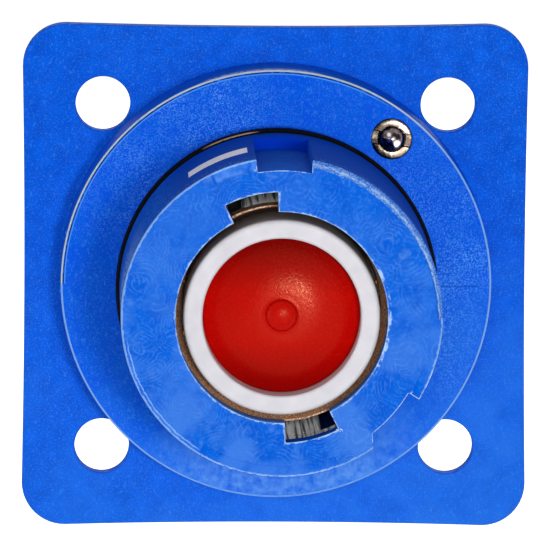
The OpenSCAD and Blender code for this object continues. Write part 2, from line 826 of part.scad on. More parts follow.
mounting_flange();
panel_seal();
nose_insulator();
nose_seal();
alignment_mark();
ring_nut();
index_pin();
front_chamber_ring();
chamber_seal();
bayonet_sleeve();
contact_tube();
lead_in_ring();
contact_band();
contact_base();
base_seal();
locating_pins();
retaining_ring();
guard_ring();
guard_cap();
guard_spring();
rear_cover();
terminal_stud();
flat_washers();
spring_washer();
terminal_nut();
plunger_sleeve();
plunger_ball();
plunger_spring();
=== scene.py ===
import random
from math import atan2, cos, degrees, exp, pi, radians, sin, sqrt, tan
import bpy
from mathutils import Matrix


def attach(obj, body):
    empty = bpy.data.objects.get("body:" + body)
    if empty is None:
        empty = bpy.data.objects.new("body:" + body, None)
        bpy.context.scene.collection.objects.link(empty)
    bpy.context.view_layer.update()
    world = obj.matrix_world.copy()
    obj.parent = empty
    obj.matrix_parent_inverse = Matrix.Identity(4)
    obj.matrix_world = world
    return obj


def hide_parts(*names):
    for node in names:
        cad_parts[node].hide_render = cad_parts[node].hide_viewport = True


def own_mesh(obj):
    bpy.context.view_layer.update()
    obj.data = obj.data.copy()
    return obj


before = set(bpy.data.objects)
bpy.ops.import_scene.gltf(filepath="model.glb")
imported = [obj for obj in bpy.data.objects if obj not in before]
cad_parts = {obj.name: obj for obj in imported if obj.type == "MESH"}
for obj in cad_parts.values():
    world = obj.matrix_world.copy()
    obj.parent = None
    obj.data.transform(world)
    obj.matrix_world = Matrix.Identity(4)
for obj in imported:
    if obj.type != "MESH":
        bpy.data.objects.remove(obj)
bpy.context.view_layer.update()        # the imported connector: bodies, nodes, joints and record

from types import SimpleNamespace

import bpy
import bmesh
from mathutils import Matrix, Vector

random.seed(11)
print("frame loaded,", len(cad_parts), "nodes")

# Pieces are modelled in millimetres with the connector's axis on +Z, counted forward from the
# panel face, and are then turned so that the nose points along -Y, in metres.
forwardTurn = radians(90)
largeFace = 4e-5         # square metres; from this size on, a face keeps its own flat normal
roundSteps = 250         # sides of the nose, whose cuts end midway between its radial edges


def onlySelect(*pieces):
    bpy.ops.object.select_all(action="DESELECT")
    for piece in pieces:
        piece.select_set(True)
    bpy.context.view_layer.objects.active = pieces[0]


def startEdit(piece, select="SELECT"):
    onlySelect(piece)
    bpy.ops.object.mode_set(mode="EDIT")
    bpy.ops.mesh.select_all(action=select)


def endEdit():
    bpy.ops.object.mode_set(mode="OBJECT")


def added(primitive, place=(0, 0, 0), **settings):
    bpy.ops.object.select_all(action="DESELECT")
    primitive(location=place, **settings)
    return bpy.context.object


def closeUp(piece, gap=0.0005):   # merges what coincides and turns the faces outwards
    startEdit(piece)
    bpy.ops.mesh.remove_doubles(threshold=gap)
    bpy.ops.mesh.normals_make_consistent(inside=False)
    endEdit()


def addModifier(piece, kind, **settings):
    onlySelect(piece)
    made = piece.modifiers.new(kind.lower(), kind)
    for key, value in settings.items():
        setattr(made, key, value)
    bpy.ops.object.modifier_apply(modifier=made.name)


def named(piece, name):
    piece.name = piece.data.name = name
    return piece


def settle(piece, place=None, turn=None, size=None):   # puts a place, a turn or a size into the mesh
    onlySelect(piece)
    if place:
        piece.location = place
    if turn:
        piece.rotation_euler = [radians(angle) for angle in turn]
    if size:
        piece.scale = size
    bpy.ops.object.transform_apply(location=True, rotation=True, scale=True)
    return piece


def copied(piece):       # a copy with its own mesh
    twin = piece.copy()
    twin.data = piece.data.copy()
    bpy.context.collection.objects.link(twin)
    return twin


def polar(radius, angle):
    return radius * cos(radians(angle)), radius * sin(radians(angle))


def softCorners(points, closed=True, steps=3):
    # points are (radius, station) or (radius, station, fillet); a fillet becomes a short arc
    soft = []
    count = len(points)
    for i, point in enumerate(points):
        here = Vector(point[:2])
        fillet = point[2] if len(point) > 2 and (closed or 0 < i < count - 1) else 0
        if not fillet:
            soft.append(tuple(here))
            continue
        back = (Vector(points[i - 1][:2]) - here).normalized()
        ahead = (Vector(points[(i + 1) % count][:2]) - here).normalized()
        half = back.angle(ahead) / 2
        centre = here + (back + ahead).normalized() * fillet / sin(half)
        first = (here + back * fillet / tan(half) - centre).normalized()
        last = (here + ahead * fillet / tan(half) - centre).normalized()
        for k in range(steps + 1):
            soft.append(tuple(centre + first.slerp(last, k / steps) * fillet))
    return soft


def turned(name, points, closed=True, steps=160, soft=3):
    # a lathe form: a circle is extruded and scaled from one outline point to the next
    outline = softCorners(points, closed, soft)
    radius, station = outline[0]
    fill = "NOTHING" if closed else "NGON"
    piece = named(added(bpy.ops.mesh.primitive_circle_add, vertices=steps, radius=radius, fill_type=fill),
        name)
    startEdit(piece)
    bpy.ops.transform.translate(value=(0, 0, station))
    for nextRadius, nextStation in outline[1:] + (outline[:1] if closed else []):
        move = {"value": (0, 0, nextStation - station)}
        if closed:
            bpy.ops.mesh.extrude_edges_move(TRANSFORM_OT_translate=move)
        else:
            bpy.ops.mesh.extrude_region_move(TRANSFORM_OT_translate=move)
        share = nextRadius / radius
        bpy.ops.transform.resize(value=(share, share, 1), center_override=(0, 0, nextStation))
        radius, station = nextRadius, nextStation
    endEdit()
    closeUp(piece)
    return piece


def turnedMarks(radius, low, high, pitch, depth):      # shallow grooves left by the lathe
    marks = []
    for i in range(round((high - low) / pitch)):
        marks += [(radius, low + pitch * i), (radius + depth, low + pitch * (i + 0.5))]
    return marks + [(radius, high)]


def drawn(points):
    # a flat outline: a circle with one point for each, dragged to their places
    piece = added(bpy.ops.mesh.primitive_circle_add, vertices=len(points), radius=1, fill_type="NGON")
    startEdit(piece, "DESELECT")
    mesh = bmesh.from_edit_mesh(piece.data)
    mesh.verts.ensure_lookup_table()
    for vertex, (x, y) in zip(mesh.verts, points):
        vertex.select_set(True)
        bpy.ops.transform.translate(value=(x - vertex.co.x, y - vertex.co.y, 0))
        vertex.select_set(False)
    mesh.select_flush(False)
    endEdit()
    return piece


def raised(points, low, high, name="tool"):
    piece = named(drawn(points), name)
    startEdit(piece)
    bpy.ops.transform.translate(value=(0, 0, low))
    bpy.ops.mesh.extrude_region_move(TRANSFORM_OT_translate={"value": (0, 0, high - low)})
    endEdit()
    closeUp(piece)
    return piece


def spun(section, start, end, steps=24, name="tool"):
    # a section of (radius, station) points, stood up at one angle and spun to another
    piece = settle(named(drawn(section), name), turn=(90, 0, end))    # spin turns clockwise
    startEdit(piece)
    bpy.ops.mesh.spin(steps=steps, angle=radians(end - start), center=(0, 0, 0), axis=(0, 0, 1))
    endEdit()
    closeUp(piece)
    return piece


def arcBlock(inner, outer, start, end, low, high, steps=24):
    return spun([(inner, low), (outer, low), (outer, high), (inner, high)], start, end, steps)


def rod(radius, low, high, x=0, y=0, steps=64):
    return settle(added(bpy.ops.mesh.primitive_cylinder_add, (x, y, (low + high) / 2), vertices=steps,
        radius=radius, depth=high - low))


def combine(piece, tools, how="DIFFERENCE"):
    for tool in tools:
        addModifier(piece, "BOOLEAN", object=tool, operation=how, solver="EXACT")
        bpy.data.objects.remove(tool)
    closeUp(piece)


def softEdges(piece, width, angle=50, segments=2):
    addModifier(piece, "BEVEL", width=width, segments=segments, limit_method="ANGLE",
        angle_limit=radians(angle), use_clamp_overlap=False, miter_outer="MITER_ARC")


def joined(name, pieces):
    onlySelect(*pieces)
    bpy.ops.object.join()
    return named(pieces[0], name)


def burr(radius, angle, station, size):      # a ragged crumb left by the mould or the tool
    piece = settle(added(bpy.ops.mesh.primitive_ico_sphere_add, (*polar(radius, angle), station),
        subdivisions=2, radius=size))
    for vertex in piece.data.vertices:
        vertex.co += Vector([random.uniform(-0.25, 0.25) * size for _ in range(3)])
    return piece


def finishPiece(piece, material, node, body="connector", smooth=35):
    settle(piece, turn=(90, 0, 0), size=[0.001] * 3)
    bpy.ops.object.shade_smooth_by_angle(angle=radians(smooth))
    for face in piece.data.polygons:
        face.use_smooth = face.use_smooth and face.area < largeFace
    addModifier(piece, "WEIGHTED_NORMAL", keep_sharp=True)
    piece.data.materials.clear()
    piece.data.materials.append(material)
    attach(piece, body)
    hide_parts(node)
    print("made", piece.name, len(piece.data.polygons), "faces")
    return piece


# Places that both the shapes and the materials go by
bossFront, bossRadius = 13.4, 31.8
noseFront, noseRadius, lipBore = 51.4, 23.15, 15.27
keyFloor, keyBack = 21.3, 24.4       # of the two keyways
plungerSpot = polar(27.475, 52)      # midway between the nose and the edge of the boss


def colour(text):
    # an sRGB hex colour as the linear values that the shader wants
    parts = [int(text[i:i + 2], 16) / 255 for i in (1, 3, 5)]
    return [c / 12.92 if c <= 0.04045 else ((c + 0.055) / 1.055) ** 2.4 for c in parts] + [1]


def addNode(tree, kind, inputs=None, give=0, **settings):
    # adds a node with its settings; an input is a number, a hex colour or a socket to link
    made = tree.nodes.new("ShaderNode" + kind)
    for key, value in settings.items():
        setattr(made, key, value)
    for key, value in (inputs or {}).items():
        if isinstance(value, bpy.types.NodeSocket):
            tree.links.new(value, made.inputs[key])
        else:
            made.inputs[key].default_value = colour(value) if isinstance(value, str) else value
    return made if give is None else made.outputs[give]


def newMaterial(name, base, **looks):
    # looks are constants on the shader's own sockets, such as Metallic=1; _ stands for a space
    material = bpy.data.materials.new(name)
    material.use_nodes = True
    tree = material.node_tree
    tree.nodes.clear()
    inputs = {"Base Color": base}
    for key, value in looks.items():
        inputs[key.replace("_", " ")] = value
    shader = addNode(tree, "BsdfPrincipled", inputs, give=None)
    addNode(tree, "OutputMaterial", {0: shader.outputs[0]}, give=None)
    material.diffuse_color = colour(base)
    return material, tree, shader.inputs, addNode(tree, "TexCoord", give=3)


def feed(tree, sockets, layers=(), rough=None, bump=None):
    # each layer is a mask, the hex colour that it lets through over what lies below and, unless whole, its
    # share; rough is (mask, low, high), bump (mask, strength, depth in mm)
    base = list(sockets["Base Color"].default_value)
    for mask, shade, *share in layers:
        if share:
            mask = addNode(tree, "Math", {0: mask, 1: share[0]}, operation="MULTIPLY")
        base = addNode(tree, "Mix", {0: mask, 6: base, 7: shade}, give=2, data_type="RGBA")
    if layers:
        tree.links.new(base, sockets["Base Color"])
    if rough:
        rough = addNode(tree, "MapRange", {0: rough[0], 3: rough[1], 4: rough[2]})
        tree.links.new(rough, sockets["Roughness"])
    if bump:
        bump = addNode(tree, "Bump", {"Height": bump[0], "Strength": bump[1], "Distance": bump[2] / 1000})
        tree.links.new(bump, sockets["Normal"])


def grain(tree, place, size, low=0.35, high=0.65, detail=2, stretch=(1, 1, 1), turn=(0, 0, 0), start=0,
        peak=1.0):
    # soft blotches as a mask from 0 to its peak; size is that of a blotch in millimetres
    spots = addNode(tree, "Mapping", {0: place, 1: [start] * 3, 2: [radians(a) for a in turn],
        3: [1000 / size * s for s in stretch]})
    cloud = addNode(tree, "TexNoise", {0: spots, "Scale": 1.0, "Detail": detail, "Roughness": 0.55})
    return addNode(tree, "MapRange", {0: cloud, 1: low, 2: high, 4: peak})


def near(tree, value, middle, half, soft, peak=1.0):
    # a mask that has its peak within half of the middle value and fades to 0 over soft
    away = addNode(tree, "Math", {0: value, 1: middle}, operation="SUBTRACT")
    away = addNode(tree, "Math", {0: away}, operation="ABSOLUTE")
    return addNode(tree, "MapRange", {0: away, 1: half, 2: half + soft, 3: peak, 4: 0})


def either(tree, first, *others):        # the stronger of several masks
    for other in others:
        first = addNode(tree, "Math", {0: first, 1: other}, operation="MAXIMUM")
    return first


def bearing(tree, up, across):           # the angle round a point, in degrees
    turn = addNode(tree, "Math", {0: up, 1: across}, operation="ARCTAN2")
    return addNode(tree, "Math", {0: turn}, operation="DEGREES")


def roundPlaces(tree, place):
    # millimetres across, up and forward, the radius from the axis and the angle round it in degrees
    sized = addNode(tree, "VectorMath", {0: place, 1: (1000, -1000, 1000)}, operation="MULTIPLY")
    across, forward, up = addNode(tree, "SeparateXYZ", {0: sized}, give=None).outputs
    flat = addNode(tree, "CombineXYZ", {0: across, 2: up})
    radius = addNode(tree, "VectorMath", {0: flat}, give=1, operation="LENGTH")
    return SimpleNamespace(across=across, forward=forward, up=up, radius=radius,
        angle=bearing(tree, up, across), flat=flat)


# Injection-moulded nylon with glass fibre: satin royal blue, flecked where fibres reach its skin
mouldedNylon, tree, sockets, place = newMaterial(
    "mouldedGlassNylon", "#0050cc", Specular_IOR_Level=0.035)
where = roundPlaces(tree, place)
# painted light: the nylon is made paler towards the bottom and the right, standing in for light from below
lowered = addNode(tree, "MapRange", {0: where.up, 1: 10, 2: -36})
leaning = addNode(tree, "MapRange", {0: where.across, 1: -30, 2: 30, 3: 0.35})
litBelowRight = addNode(tree, "Math", {0: lowered, 1: leaning}, operation="MULTIPLY")
onBoss = near(tree, where.forward, bossFront, 0.25, 0.2)
upperLeft = near(tree, where.angle, 125, 18, 28, peak=onBoss)
rightSide = near(tree, where.angle, 8, 22, 30, peak=onBoss)
dense = addNode(tree, "MapRange", {0: either(tree, upperLeft, rightSide), 3: 0.14, 4: 0.8})
dense = grain(tree, place, 7, 0.3, 0.65, start=5, peak=dense)
parting = near(tree, where.across, 27, 2.6, 0.8, peak=onBoss)
parting = near(tree, where.up, -0.24, 0.04, 0.06, peak=parting)
onEdge = near(tree, where.forward, bossFront - 0.1, 0.2, 0.06)
# painted highlight: a pale line along the rounded front edge of the boss
rimLine = bossRadius - 0.14
rimHighlight = near(tree, where.radius, rimLine, 0.12, 0.06, peak=onEdge)
# painted highlight: a pale yellowish line on the upper left of the boss's front edge
paleRimHighlight = near(tree, where.radius, rimLine, 0.07, 0.05, peak=onEdge)
paleRimHighlight = near(tree, where.angle, 118, 62, 20, peak=paleRimHighlight)
upperArc = near(tree, where.angle, 122, 58, 8, peak=onBoss)
# painted shadow: a broken dark line just inside the boss's front edge on its upper side
rimShadowLine = grain(tree, place, 1.1, 0.35, 0.5, start=12, peak=upperArc)
rimShadowLine = near(tree, where.radius, 31.43, 0.05, 0.05, peak=rimShadowLine)
# painted sheen: a lavender patch on the top of the boss's side wall
bossSideSheen = near(tree, where.angle, 95, 12, 5, peak=near(tree, where.forward, 12.3, 0.8, 0.4))
bossSideSheen = near(tree, where.radius, bossRadius, 0.1, 0.1, peak=bossSideSheen)
# painted light: paler blotches on the bottom of the boss
bossLitBelow = grain(tree, place, 1.2, 0.3, 0.7, start=15, peak=onBoss)
feed(tree, sockets, [
    # painted light: the whole boss front is a brighter blue, to offset the shade that the nose casts on it
    (onBoss, "#0053e2"),
    (grain(tree, place, 2.6, 0.3, 0.7, detail=3), "#005fe2"),
    (grain(tree, place, 9, 0.42, 0.62, start=2, peak=litBelowRight), "#1f70e6"),
    (litBelowRight, "#2f7ce8", 0.4),
    (grain(tree, place, 0.23, 0.5, 0.66, detail=1, start=1, peak=dense), "#5ea0f8"),
    (grain(tree, place, 0.5, 0.62, 0.74, 1, (1, 1, 0.5), (0, 35, 0), start=8, peak=0.45), "#3b86ea"),
    (grain(tree, place, 0.3, 0.56, 0.7, detail=1, start=21, peak=0.28), "#4d92f4"),
    (rimHighlight, "#8cbcfa", 0.85),
    (grain(tree, place, 1.5, 0.2, 0.4, start=4, peak=paleRimHighlight), "#ccd4c6"),
    # painted glow: a lighter blue line inside the painted shadow line
    (near(tree, where.radius, 31.2, 0.04, 0.08, peak=upperArc), "#4d92f0"),
    (rimShadowLine, "#06154a"),
    (grain(tree, place, 0.5, 0.42, 0.58, detail=3, start=18, peak=bossSideSheen), "#aab4e4"),
    (parting, "#0036a4", 0.6),
    (near(tree, where.angle, -86, 20, 24, peak=bossLitBelow), "#5c98f2")],
    rough=(grain(tree, place, 1.2, 0.3, 0.7), 0.52, 0.68),
    bump=(grain(tree, place, 0.28, 0.2, 0.8, detail=3), 0.3, 0.06))

# The same nylon, its face turned after moulding: milky in patches, which grow stronger towards the bottom as
# painted light, with the tool's whorls and torn edges
noseNylon, tree, sockets, place = newMaterial(
    "machinedGlassNylon", "#0056ce", Specular_IOR_Level=0.04)
where = roundPlaces(tree, place)
face = near(tree, where.forward, noseFront, 0.06, 0.04)
front = near(tree, where.forward, noseFront, 0.7, 0.5)
ragged = grain(tree, place, 0.7, 0.0, 1.0, detail=3)       # the radius, made to wander for the edge lines
ragged = addNode(tree, "Math", {0: ragged, 1: 0.5, 2: where.radius}, operation="MULTIPLY_ADD")
# painted light: the milky patches grow stronger towards the bottom of the face
lower = addNode(tree, "MapRange", {0: where.up, 1: 18, 2: -16, 3: 0.16, 4: 0.6})
milkyPatchesLitBelow = near(tree, where.forward, noseFront, 0.5, 0.1, peak=lower)
milkyPatchesLitBelow = grain(tree, place, 6, 0.44, 0.62, detail=3, start=2, peak=milkyPatchesLitBelow)
whorls = []
ringSpacing = 0.47
for cell, start in ((7.5, 3), (5.5, 11)):
    bent = addNode(tree, "TexNoise", {0: where.flat, "Scale": 0.25, "Detail": 1}, give=1)
    bent = addNode(tree, "VectorMath", {0: bent, 1: (1.6, 1.6, 1.6), 2: where.flat}, operation="MULTIPLY_ADD")
    cells = addNode(tree, "TexVoronoi", {0: bent, "Scale": 1 / cell})
    rings = addNode(tree, "Math", {0: cells, 1: cell * 2 * pi / ringSpacing}, operation="MULTIPLY")
    rings = addNode(tree, "Math", {0: rings}, operation="SINE")
    here = grain(tree, place, 5, 0.41, 0.55, detail=1, start=start, peak=face)
    here = grain(tree, place, 1.6, 0.4, 0.62, start=start, peak=here)
    whorls.append(addNode(tree, "MapRange", {0: rings, 1: 0.35, 4: here}))

# painted highlight: a pale line along the outer edge of the front
outer = near(tree, where.forward, 51.25, 0.22, 0.08)
outer = near(tree, ragged, 23.34, 0.14, 0.1, peak=outer)
bandInner = addNode(tree, "MapRange", {0: where.angle, 1: -1, 2: 45, 3: 22.8, 4: 22.3})    # narrows downwards
inBand = addNode(tree, "Math", {0: ragged, 1: bandInner}, operation="SUBTRACT")
inBand = addNode(tree, "MapRange", {0: inBand, 2: 0.08, 4: front})
bevel = near(tree, where.angle, 39.5, 39.5, 0.6, peak=inBand)
bevelDots = addNode(tree, "Math", {0: bevel, 1: 0.8}, operation="MULTIPLY")
bevelDots = grain(tree, place, 0.26, 0.46, 0.6, start=3, peak=bevelDots)
bevelEdge = grain(tree, place, 0.7, 0.4, 0.56, detail=3, start=8, peak=bevel)
marked = addNode(tree, "Attribute", attribute_name="tornEdge", give=2)      # set on the nose's own edge faces
edges = grain(tree, place, 0.9, 0.36, 0.52, detail=3, start=6, peak=marked)
wide = near(tree, where.angle, -2, 26, 12, peak=near(tree, ragged, 15.7, 0.22, 0.2))
fringe = either(tree, near(tree, ragged, 15.55, 0.08, 0.2), wide)
for middle in (104.5, -75.5):        # round the two notches
    off = addNode(tree, "Math", {0: where.angle, 1: middle}, operation="SUBTRACT")
    off = addNode(tree, "Math", {0: off}, operation="ABSOLUTE")
    flank = near(tree, off, 13.0, 0.2, 0.5, peak=near(tree, where.radius, 16.8, 1.5, 0.2))
    arc = near(tree, ragged, 18.44, 0.08, 0.2, peak=near(tree, off, 0, 13, 0.4))
    fringe = either(tree, fringe, flank, arc)
broken = grain(tree, place, 0.75, 0.46, 0.58, detail=3, start=4, peak=face)
fringe = addNode(tree, "Math", {0: fringe, 1: broken}, operation="MULTIPLY")
# painted light: the wall of the lip's bore is made a light blue, to lift it out of its shade
lipWallLift = near(tree, where.radius, lipBore, 0.06, 0.04, peak=near(tree, where.forward, 49.6, 1.6, 0.2))
patch = near(tree, where.angle, 107.6, 7.8, 0.8, peak=near(tree, where.radius, 22.4, 0.85, 0.1, peak=front))
side = near(tree, where.radius, noseRadius, 0.1, 0.05, peak=near(tree, where.forward, 34, 16.9, 0.2))
sideFront = near(tree, where.forward, 51, 3, 3, peak=side)
# painted sheen: the left side of the nose is a lighter blue, paler still with speckle towards its front
leftSideSheen = near(tree, where.angle, 160, 20, 12, peak=side)
leftEdgeSheen = near(tree, where.angle, 172, 12, 12, peak=near(tree, where.forward, 47, 4, 14, peak=side))
inner = near(tree, where.angle, -146, 22, 4, peak=near(tree, ragged, 22.75, 0.04, 0.1, peak=face))
# painted shade: the keyway floors darken towards their back
keywayShade = near(tree, where.radius, keyFloor, 0.1, 0.1, peak=near(tree, where.forward, 30, 6, 12))
feed(tree, sockets, [
    (grain(tree, place, 2.6, 0.3, 0.7, detail=3), "#0462d8"),
    (milkyPatchesLitBelow, "#4a86e4"),
    (grain(tree, place, 0.4, 0.5, 0.75, detail=1, peak=0.4), "#3a83ec"),
    (either(tree, *whorls), "#72a8f2", 0.22),
    (side, "#0047c0"),
    (grain(tree, place, 0.35, 0.58, 0.7, detail=1, start=9, peak=sideFront), "#5f9aec"),
    (grain(tree, place, 0.5, 0.3, 0.6, stretch=(1, 0.3, 1), peak=leftSideSheen), "#1464e0"),
    # painted shade in the keyways: darker floors at the back and darker end walls
    (keywayShade, "#0026a0", 0.45),
    (near(tree, where.forward, keyBack, 0.05, 0.05), "#0034ba"),
    (lipWallLift, "#5a9cff"),
    (grain(tree, place, 1.3, 0.25, 0.6, detail=3, start=7, peak=patch), "#4c89e8"),
    (bevel, "#4a8cec", 0.45),
    (bevelDots, "#8db6f0"),
    (near(tree, ragged, 22.8, 0.08, 0.16, peak=bevelEdge), "#a9c8f4"),
    (grain(tree, place, 0.45, 0.45, 0.62, detail=3, start=10, peak=leftEdgeSheen), "#8fb8f8"),
    (inner, "#8fbcf7", 0.7),
    (outer, "#8fbcf7", 0.8),
    (fringe, "#a4c8f8"),
    (edges, "#b4d2fa", 0.9)],
    rough=(face, 0.95, 0.6),
    bump=(grain(tree, place, 0.3, 0.2, 0.8, detail=3), 0.25, 0.05))

# Brushed-on paint of the alignment stripe: matt white, worn a little at random
whitePaint, tree, sockets, place = newMaterial("alignmentPaint", "#e9e9f1", Roughness=0.6)
feed(tree, sockets, [(grain(tree, place, 0.5, 0.55, 0.8, detail=3), "#9db4de")])

# Moulded nitrile rubber: near black and dull, with a painted tan highlight in one place
nitrileRubber, tree, sockets, place = newMaterial("nitrileRubber", "#020202", Specular_IOR_Level=0.03)
where = roundPlaces(tree, place)
# painted highlight: a thin tan line on the round front of the seal
ringGlint = near(tree, where.radius, 23.42, 0.05, 0.06, peak=near(tree, where.angle, 107.5, 7, 4))
ringGlint = grain(tree, place, 0.8, 0.2, 0.45, start=2, peak=ringGlint)
feed(tree, sockets, [(ringGlint, "#b59a7c")], rough=(grain(tree, place, 0.8), 0.35, 0.6))

# Silver plate on turned copper: bright, with painted reflections as fine dark and grey streaks along the axis
silverPlate, tree, sockets, place = newMaterial(
    "silverPlate", "#ffffff", Metallic=0.1, Diffuse_Roughness=1.0)
reflectionStreaks = grain(tree, place, 0.35, 0.3, 0.7, stretch=(1, 0.03, 1))
feed(tree, sockets, [
    # painted reflections: dark bands and grey streaks along the axis
    (grain(tree, place, 0.6, 0.48, 0.58, stretch=(1, 0.02, 1), start=2, peak=0.95), "#10121c"),
    (reflectionStreaks, "#8c8b90", 0.5),
    # painted shade: the floors of the slots are near black
    (near(tree, roundPlaces(tree, place).radius, 15.02, 0.08, 0.04), "#05060c")],     # floors of the slots
    rough=(reflectionStreaks, 0.65, 0.45))

# Sintered bronze: brown and grainy, with painted shade dark on its inner side, widest at the top
sinteredBronze, tree, sockets, place = newMaterial("sinteredBronze", "#cc8650", Metallic=0.15, Roughness=0.55)
grit = grain(tree, place, 0.35, 0.3, 0.7, detail=3)
where = roundPlaces(tree, place)
# painted shade: the inner side of the rim is made near black, over a wider band towards the top
gapShade = addNode(tree, "Math", {0: where.up, 1: -0.07, 2: where.radius}, operation="MULTIPLY_ADD")
gapShade = addNode(tree, "MapRange", {0: gapShade, 1: 14.25, 2: 14.45, 3: 0.95, 4: 0})
feed(tree, sockets, [
    (grit, "#e8a878"),
    (grain(tree, place, 0.24, 0.52, 0.62, detail=1, start=5, peak=0.8), "#fff0d4"),
    (grain(tree, place, 0.24, 0.54, 0.64, detail=1, start=14, peak=0.7), "#5c3a22"),
    (gapShade, "#0a0604")], bump=(grit, 0.4, 0.06))

# Moulded acetal: slightly cool white, waxy
whiteAcetal, tree, sockets, place = newMaterial(
    "mouldedAcetal", "#c9c7ce", Roughness=0.42, Specular_IOR_Level=0.4, Subsurface_Weight=0.15,
    Subsurface_Radius=(0.0012, 0.001, 0.001), Subsurface_Scale=1.0)
rim = near(tree, roundPlaces(tree, place).radius, 14.1, 0.08, 0.1, peak=0.6)
feed(tree, sockets, [(grain(tree, place, 3, 0.3, 0.7), "#d4d2d8"), (rim, "#b39b70")])

# Moulded red plastic: satin, with the fine stipple of its mould, and painted shade that makes it darker above
# and below its middle
redPlastic, tree, sockets, place = newMaterial(
    "stippledRedPlastic", "#ae0000", Specular_IOR_Level=0.2, Specular_Tint="#ffb088")
stipple = grain(tree, place, 0.3, 0.3, 0.7)
height = roundPlaces(tree, place).up
feed(tree, sockets, [
    (stipple, "#be0300"),
    # painted shade: darker towards the top and the bottom of the dome
    (addNode(tree, "MapRange", {0: height, 1: 3, 2: 10, 4: 0.9}), "#700000"),
    (addNode(tree, "MapRange", {0: height, 1: -4, 2: -10, 4: 0.8}), "#840000")],
    rough=(stipple, 0.1, 0.34), bump=(stipple, 0.26, 0.04))

# Bright turned steel of the plunger body, with painted dark reflections on two sides and painted shade round
# its slot, its edge and its mouth
turnedSteel, tree, sockets, place = newMaterial("turnedSteel", "#f6e6d2", Metallic=1)
where = roundPlaces(tree, place)
sunk = addNode(tree, "MapRange", {0: where.forward, 1: 13.35, 2: 13.6, 3: 0.8, 4: 0})
spotX, spotUp = plungerSpot
fromSpot = addNode(tree, "VectorMath", {0: where.flat, 1: (spotX, 0, spotUp)}, operation="SUBTRACT")
across, _, up = addNode(tree, "SeparateXYZ", {0: fromSpot}, give=None).outputs
spotAngle = bearing(tree, up, across)
slotSlant = 0.105
slotAway = addNode(tree, "Math", {0: across, 1: slotSlant, 2: up}, operation="MULTIPLY_ADD")
slotAway = addNode(tree, "Math", {0: slotAway}, operation="ABSOLUTE")
reach = addNode(tree, "VectorMath", {0: fromSpot}, give=1, operation="LENGTH")
feed(tree, sockets, [
    (grain(tree, place, 1.1, 0.4, 0.56, start=9, peak=0.8), "#5e4a38"),
    # painted reflections: dark sectors on the lower left and the upper left of the body
    (near(tree, spotAngle, -138, 40, 18, peak=0.92), "#130e0b"),
    (near(tree, spotAngle, 128, 30, 20, peak=0.85), "#20160f"),
    # painted shade: along the slot, round the outer edge and inside the mouth
    (near(tree, slotAway, 0.95, 0.06, 0.05, peak=0.9), "#0a0705"),
    (near(tree, reach, 3.0, 0.12, 0.1, peak=0.8), "#15100c"),
    (sunk, "#2a2320")], rough=(grain(tree, place, 0.3, detail=3), 0.18, 0.36))

# Polished bearing ball, clouded dark as painted reflection, with painted highlights in a few bright spots
polishedSteel, tree, sockets, place = newMaterial("polishedSteel", "#7f7274", Metallic=1)
flat = roundPlaces(tree, place).flat
layers = [(grain(tree, place, 1.0, 0.4, 0.6, start=9), "#2a2226")]
# painted highlights: bright spots at set places on the ball
for x, up, size, peak in ((-0.5, -0.1, 0.16, 1.0), (-0.45, 0.75, 0.16, 0.75), (0.75, -0.6, 0.42, 0.85),
        (0.3, 0.2, 0.1, 0.4)):
    away = {0: flat, 1: (spotX + x, 0, spotUp + up)}
    away = addNode(tree, "VectorMath", away, give=1, operation="DISTANCE")
    layers.append((near(tree, away, 0, size, 0.22, peak=peak), "#fdf6fb"))
feed(tree, sockets, layers, rough=(grain(tree, place, 0.5), 0.07, 0.14))

# Black glass-filled nylon of the rear cover: even, with a faint grain
blackNylon, tree, sockets, place = newMaterial("blackGlassNylon", "#111215", Roughness=0.5,
    Specular_IOR_Level=0.4)
feed(tree, sockets, [(grain(tree, place, 1.6, detail=3), "#1e2025")],
    bump=(grain(tree, place, 0.3, 0.2, 0.8, detail=3), 0.3, 0.06))

# Tin plate on brass: soft grey-white metal
tinPlate, tree, sockets, place = newMaterial("tinPlate", "#adaeb0", Metallic=1, Roughness=0.38)
feed(tree, sockets, [(grain(tree, place, 1.2), "#c8c8c8")])

# Clear zinc plate on steel: bluish grey with a faint cloudiness
zincPlate, tree, sockets, place = newMaterial("zincPlate", "#a3a9b1", Metallic=1)
cloudy = grain(tree, place, 1.8, 0.3, 0.7, detail=3)
feed(tree, sockets, [(cloudy, "#c2c5ca")], rough=(cloudy, 0.28, 0.42))

# Bare metals of one colour: only their gloss is uneven, in patches of so many millimetres
bareMetals = {           # colour, metallic, size of a patch, lowest and highest roughness
    "berylliumCopper": ("#c49a55", 1, 0.6, 0.24, 0.42),       # contact strip: yellow and springy
    "drawnSpringSteel": ("#8f9296", 1, 0.7, 0.25, 0.42),      # wire: grey, with marks of the die
    "blackenedSpringSteel": ("#55585e", 1, 0.8, 0.32, 0.5),   # hardened washer: darker
    "phosphatedSteel": ("#2c2f35", 0.8, 0.9, 0.42, 0.6),      # ring nut and circlip: nearly black
}
metals = {}
for name, (base, metallic, size, low, high) in bareMetals.items():
    metals[name], tree, sockets, place = newMaterial(name, base, Metallic=metallic)
    feed(tree, sockets, rough=(grain(tree, place, size), low, high))

# The frame's own nodes that stay in view or inside get the same finishes
keptNodes = {
    "panel_seal": nitrileRubber, "chamber_seal": nitrileRubber, "base_seal": nitrileRubber,
    "ring_nut": metals["phosphatedSteel"], "retaining_ring": metals["phosphatedSteel"],
    "index_pin": turnedSteel, "locating_pins": turnedSteel, "contact_base": silverPlate,
}
for name, material in keptNodes.items():
    for holder in bpy.data.objects[name].material_slots:
        holder.material = material
print("materials ready,", len(bpy.data.materials))


# Mounting flange: square plate, round boss and the spigot that centres it in the panel

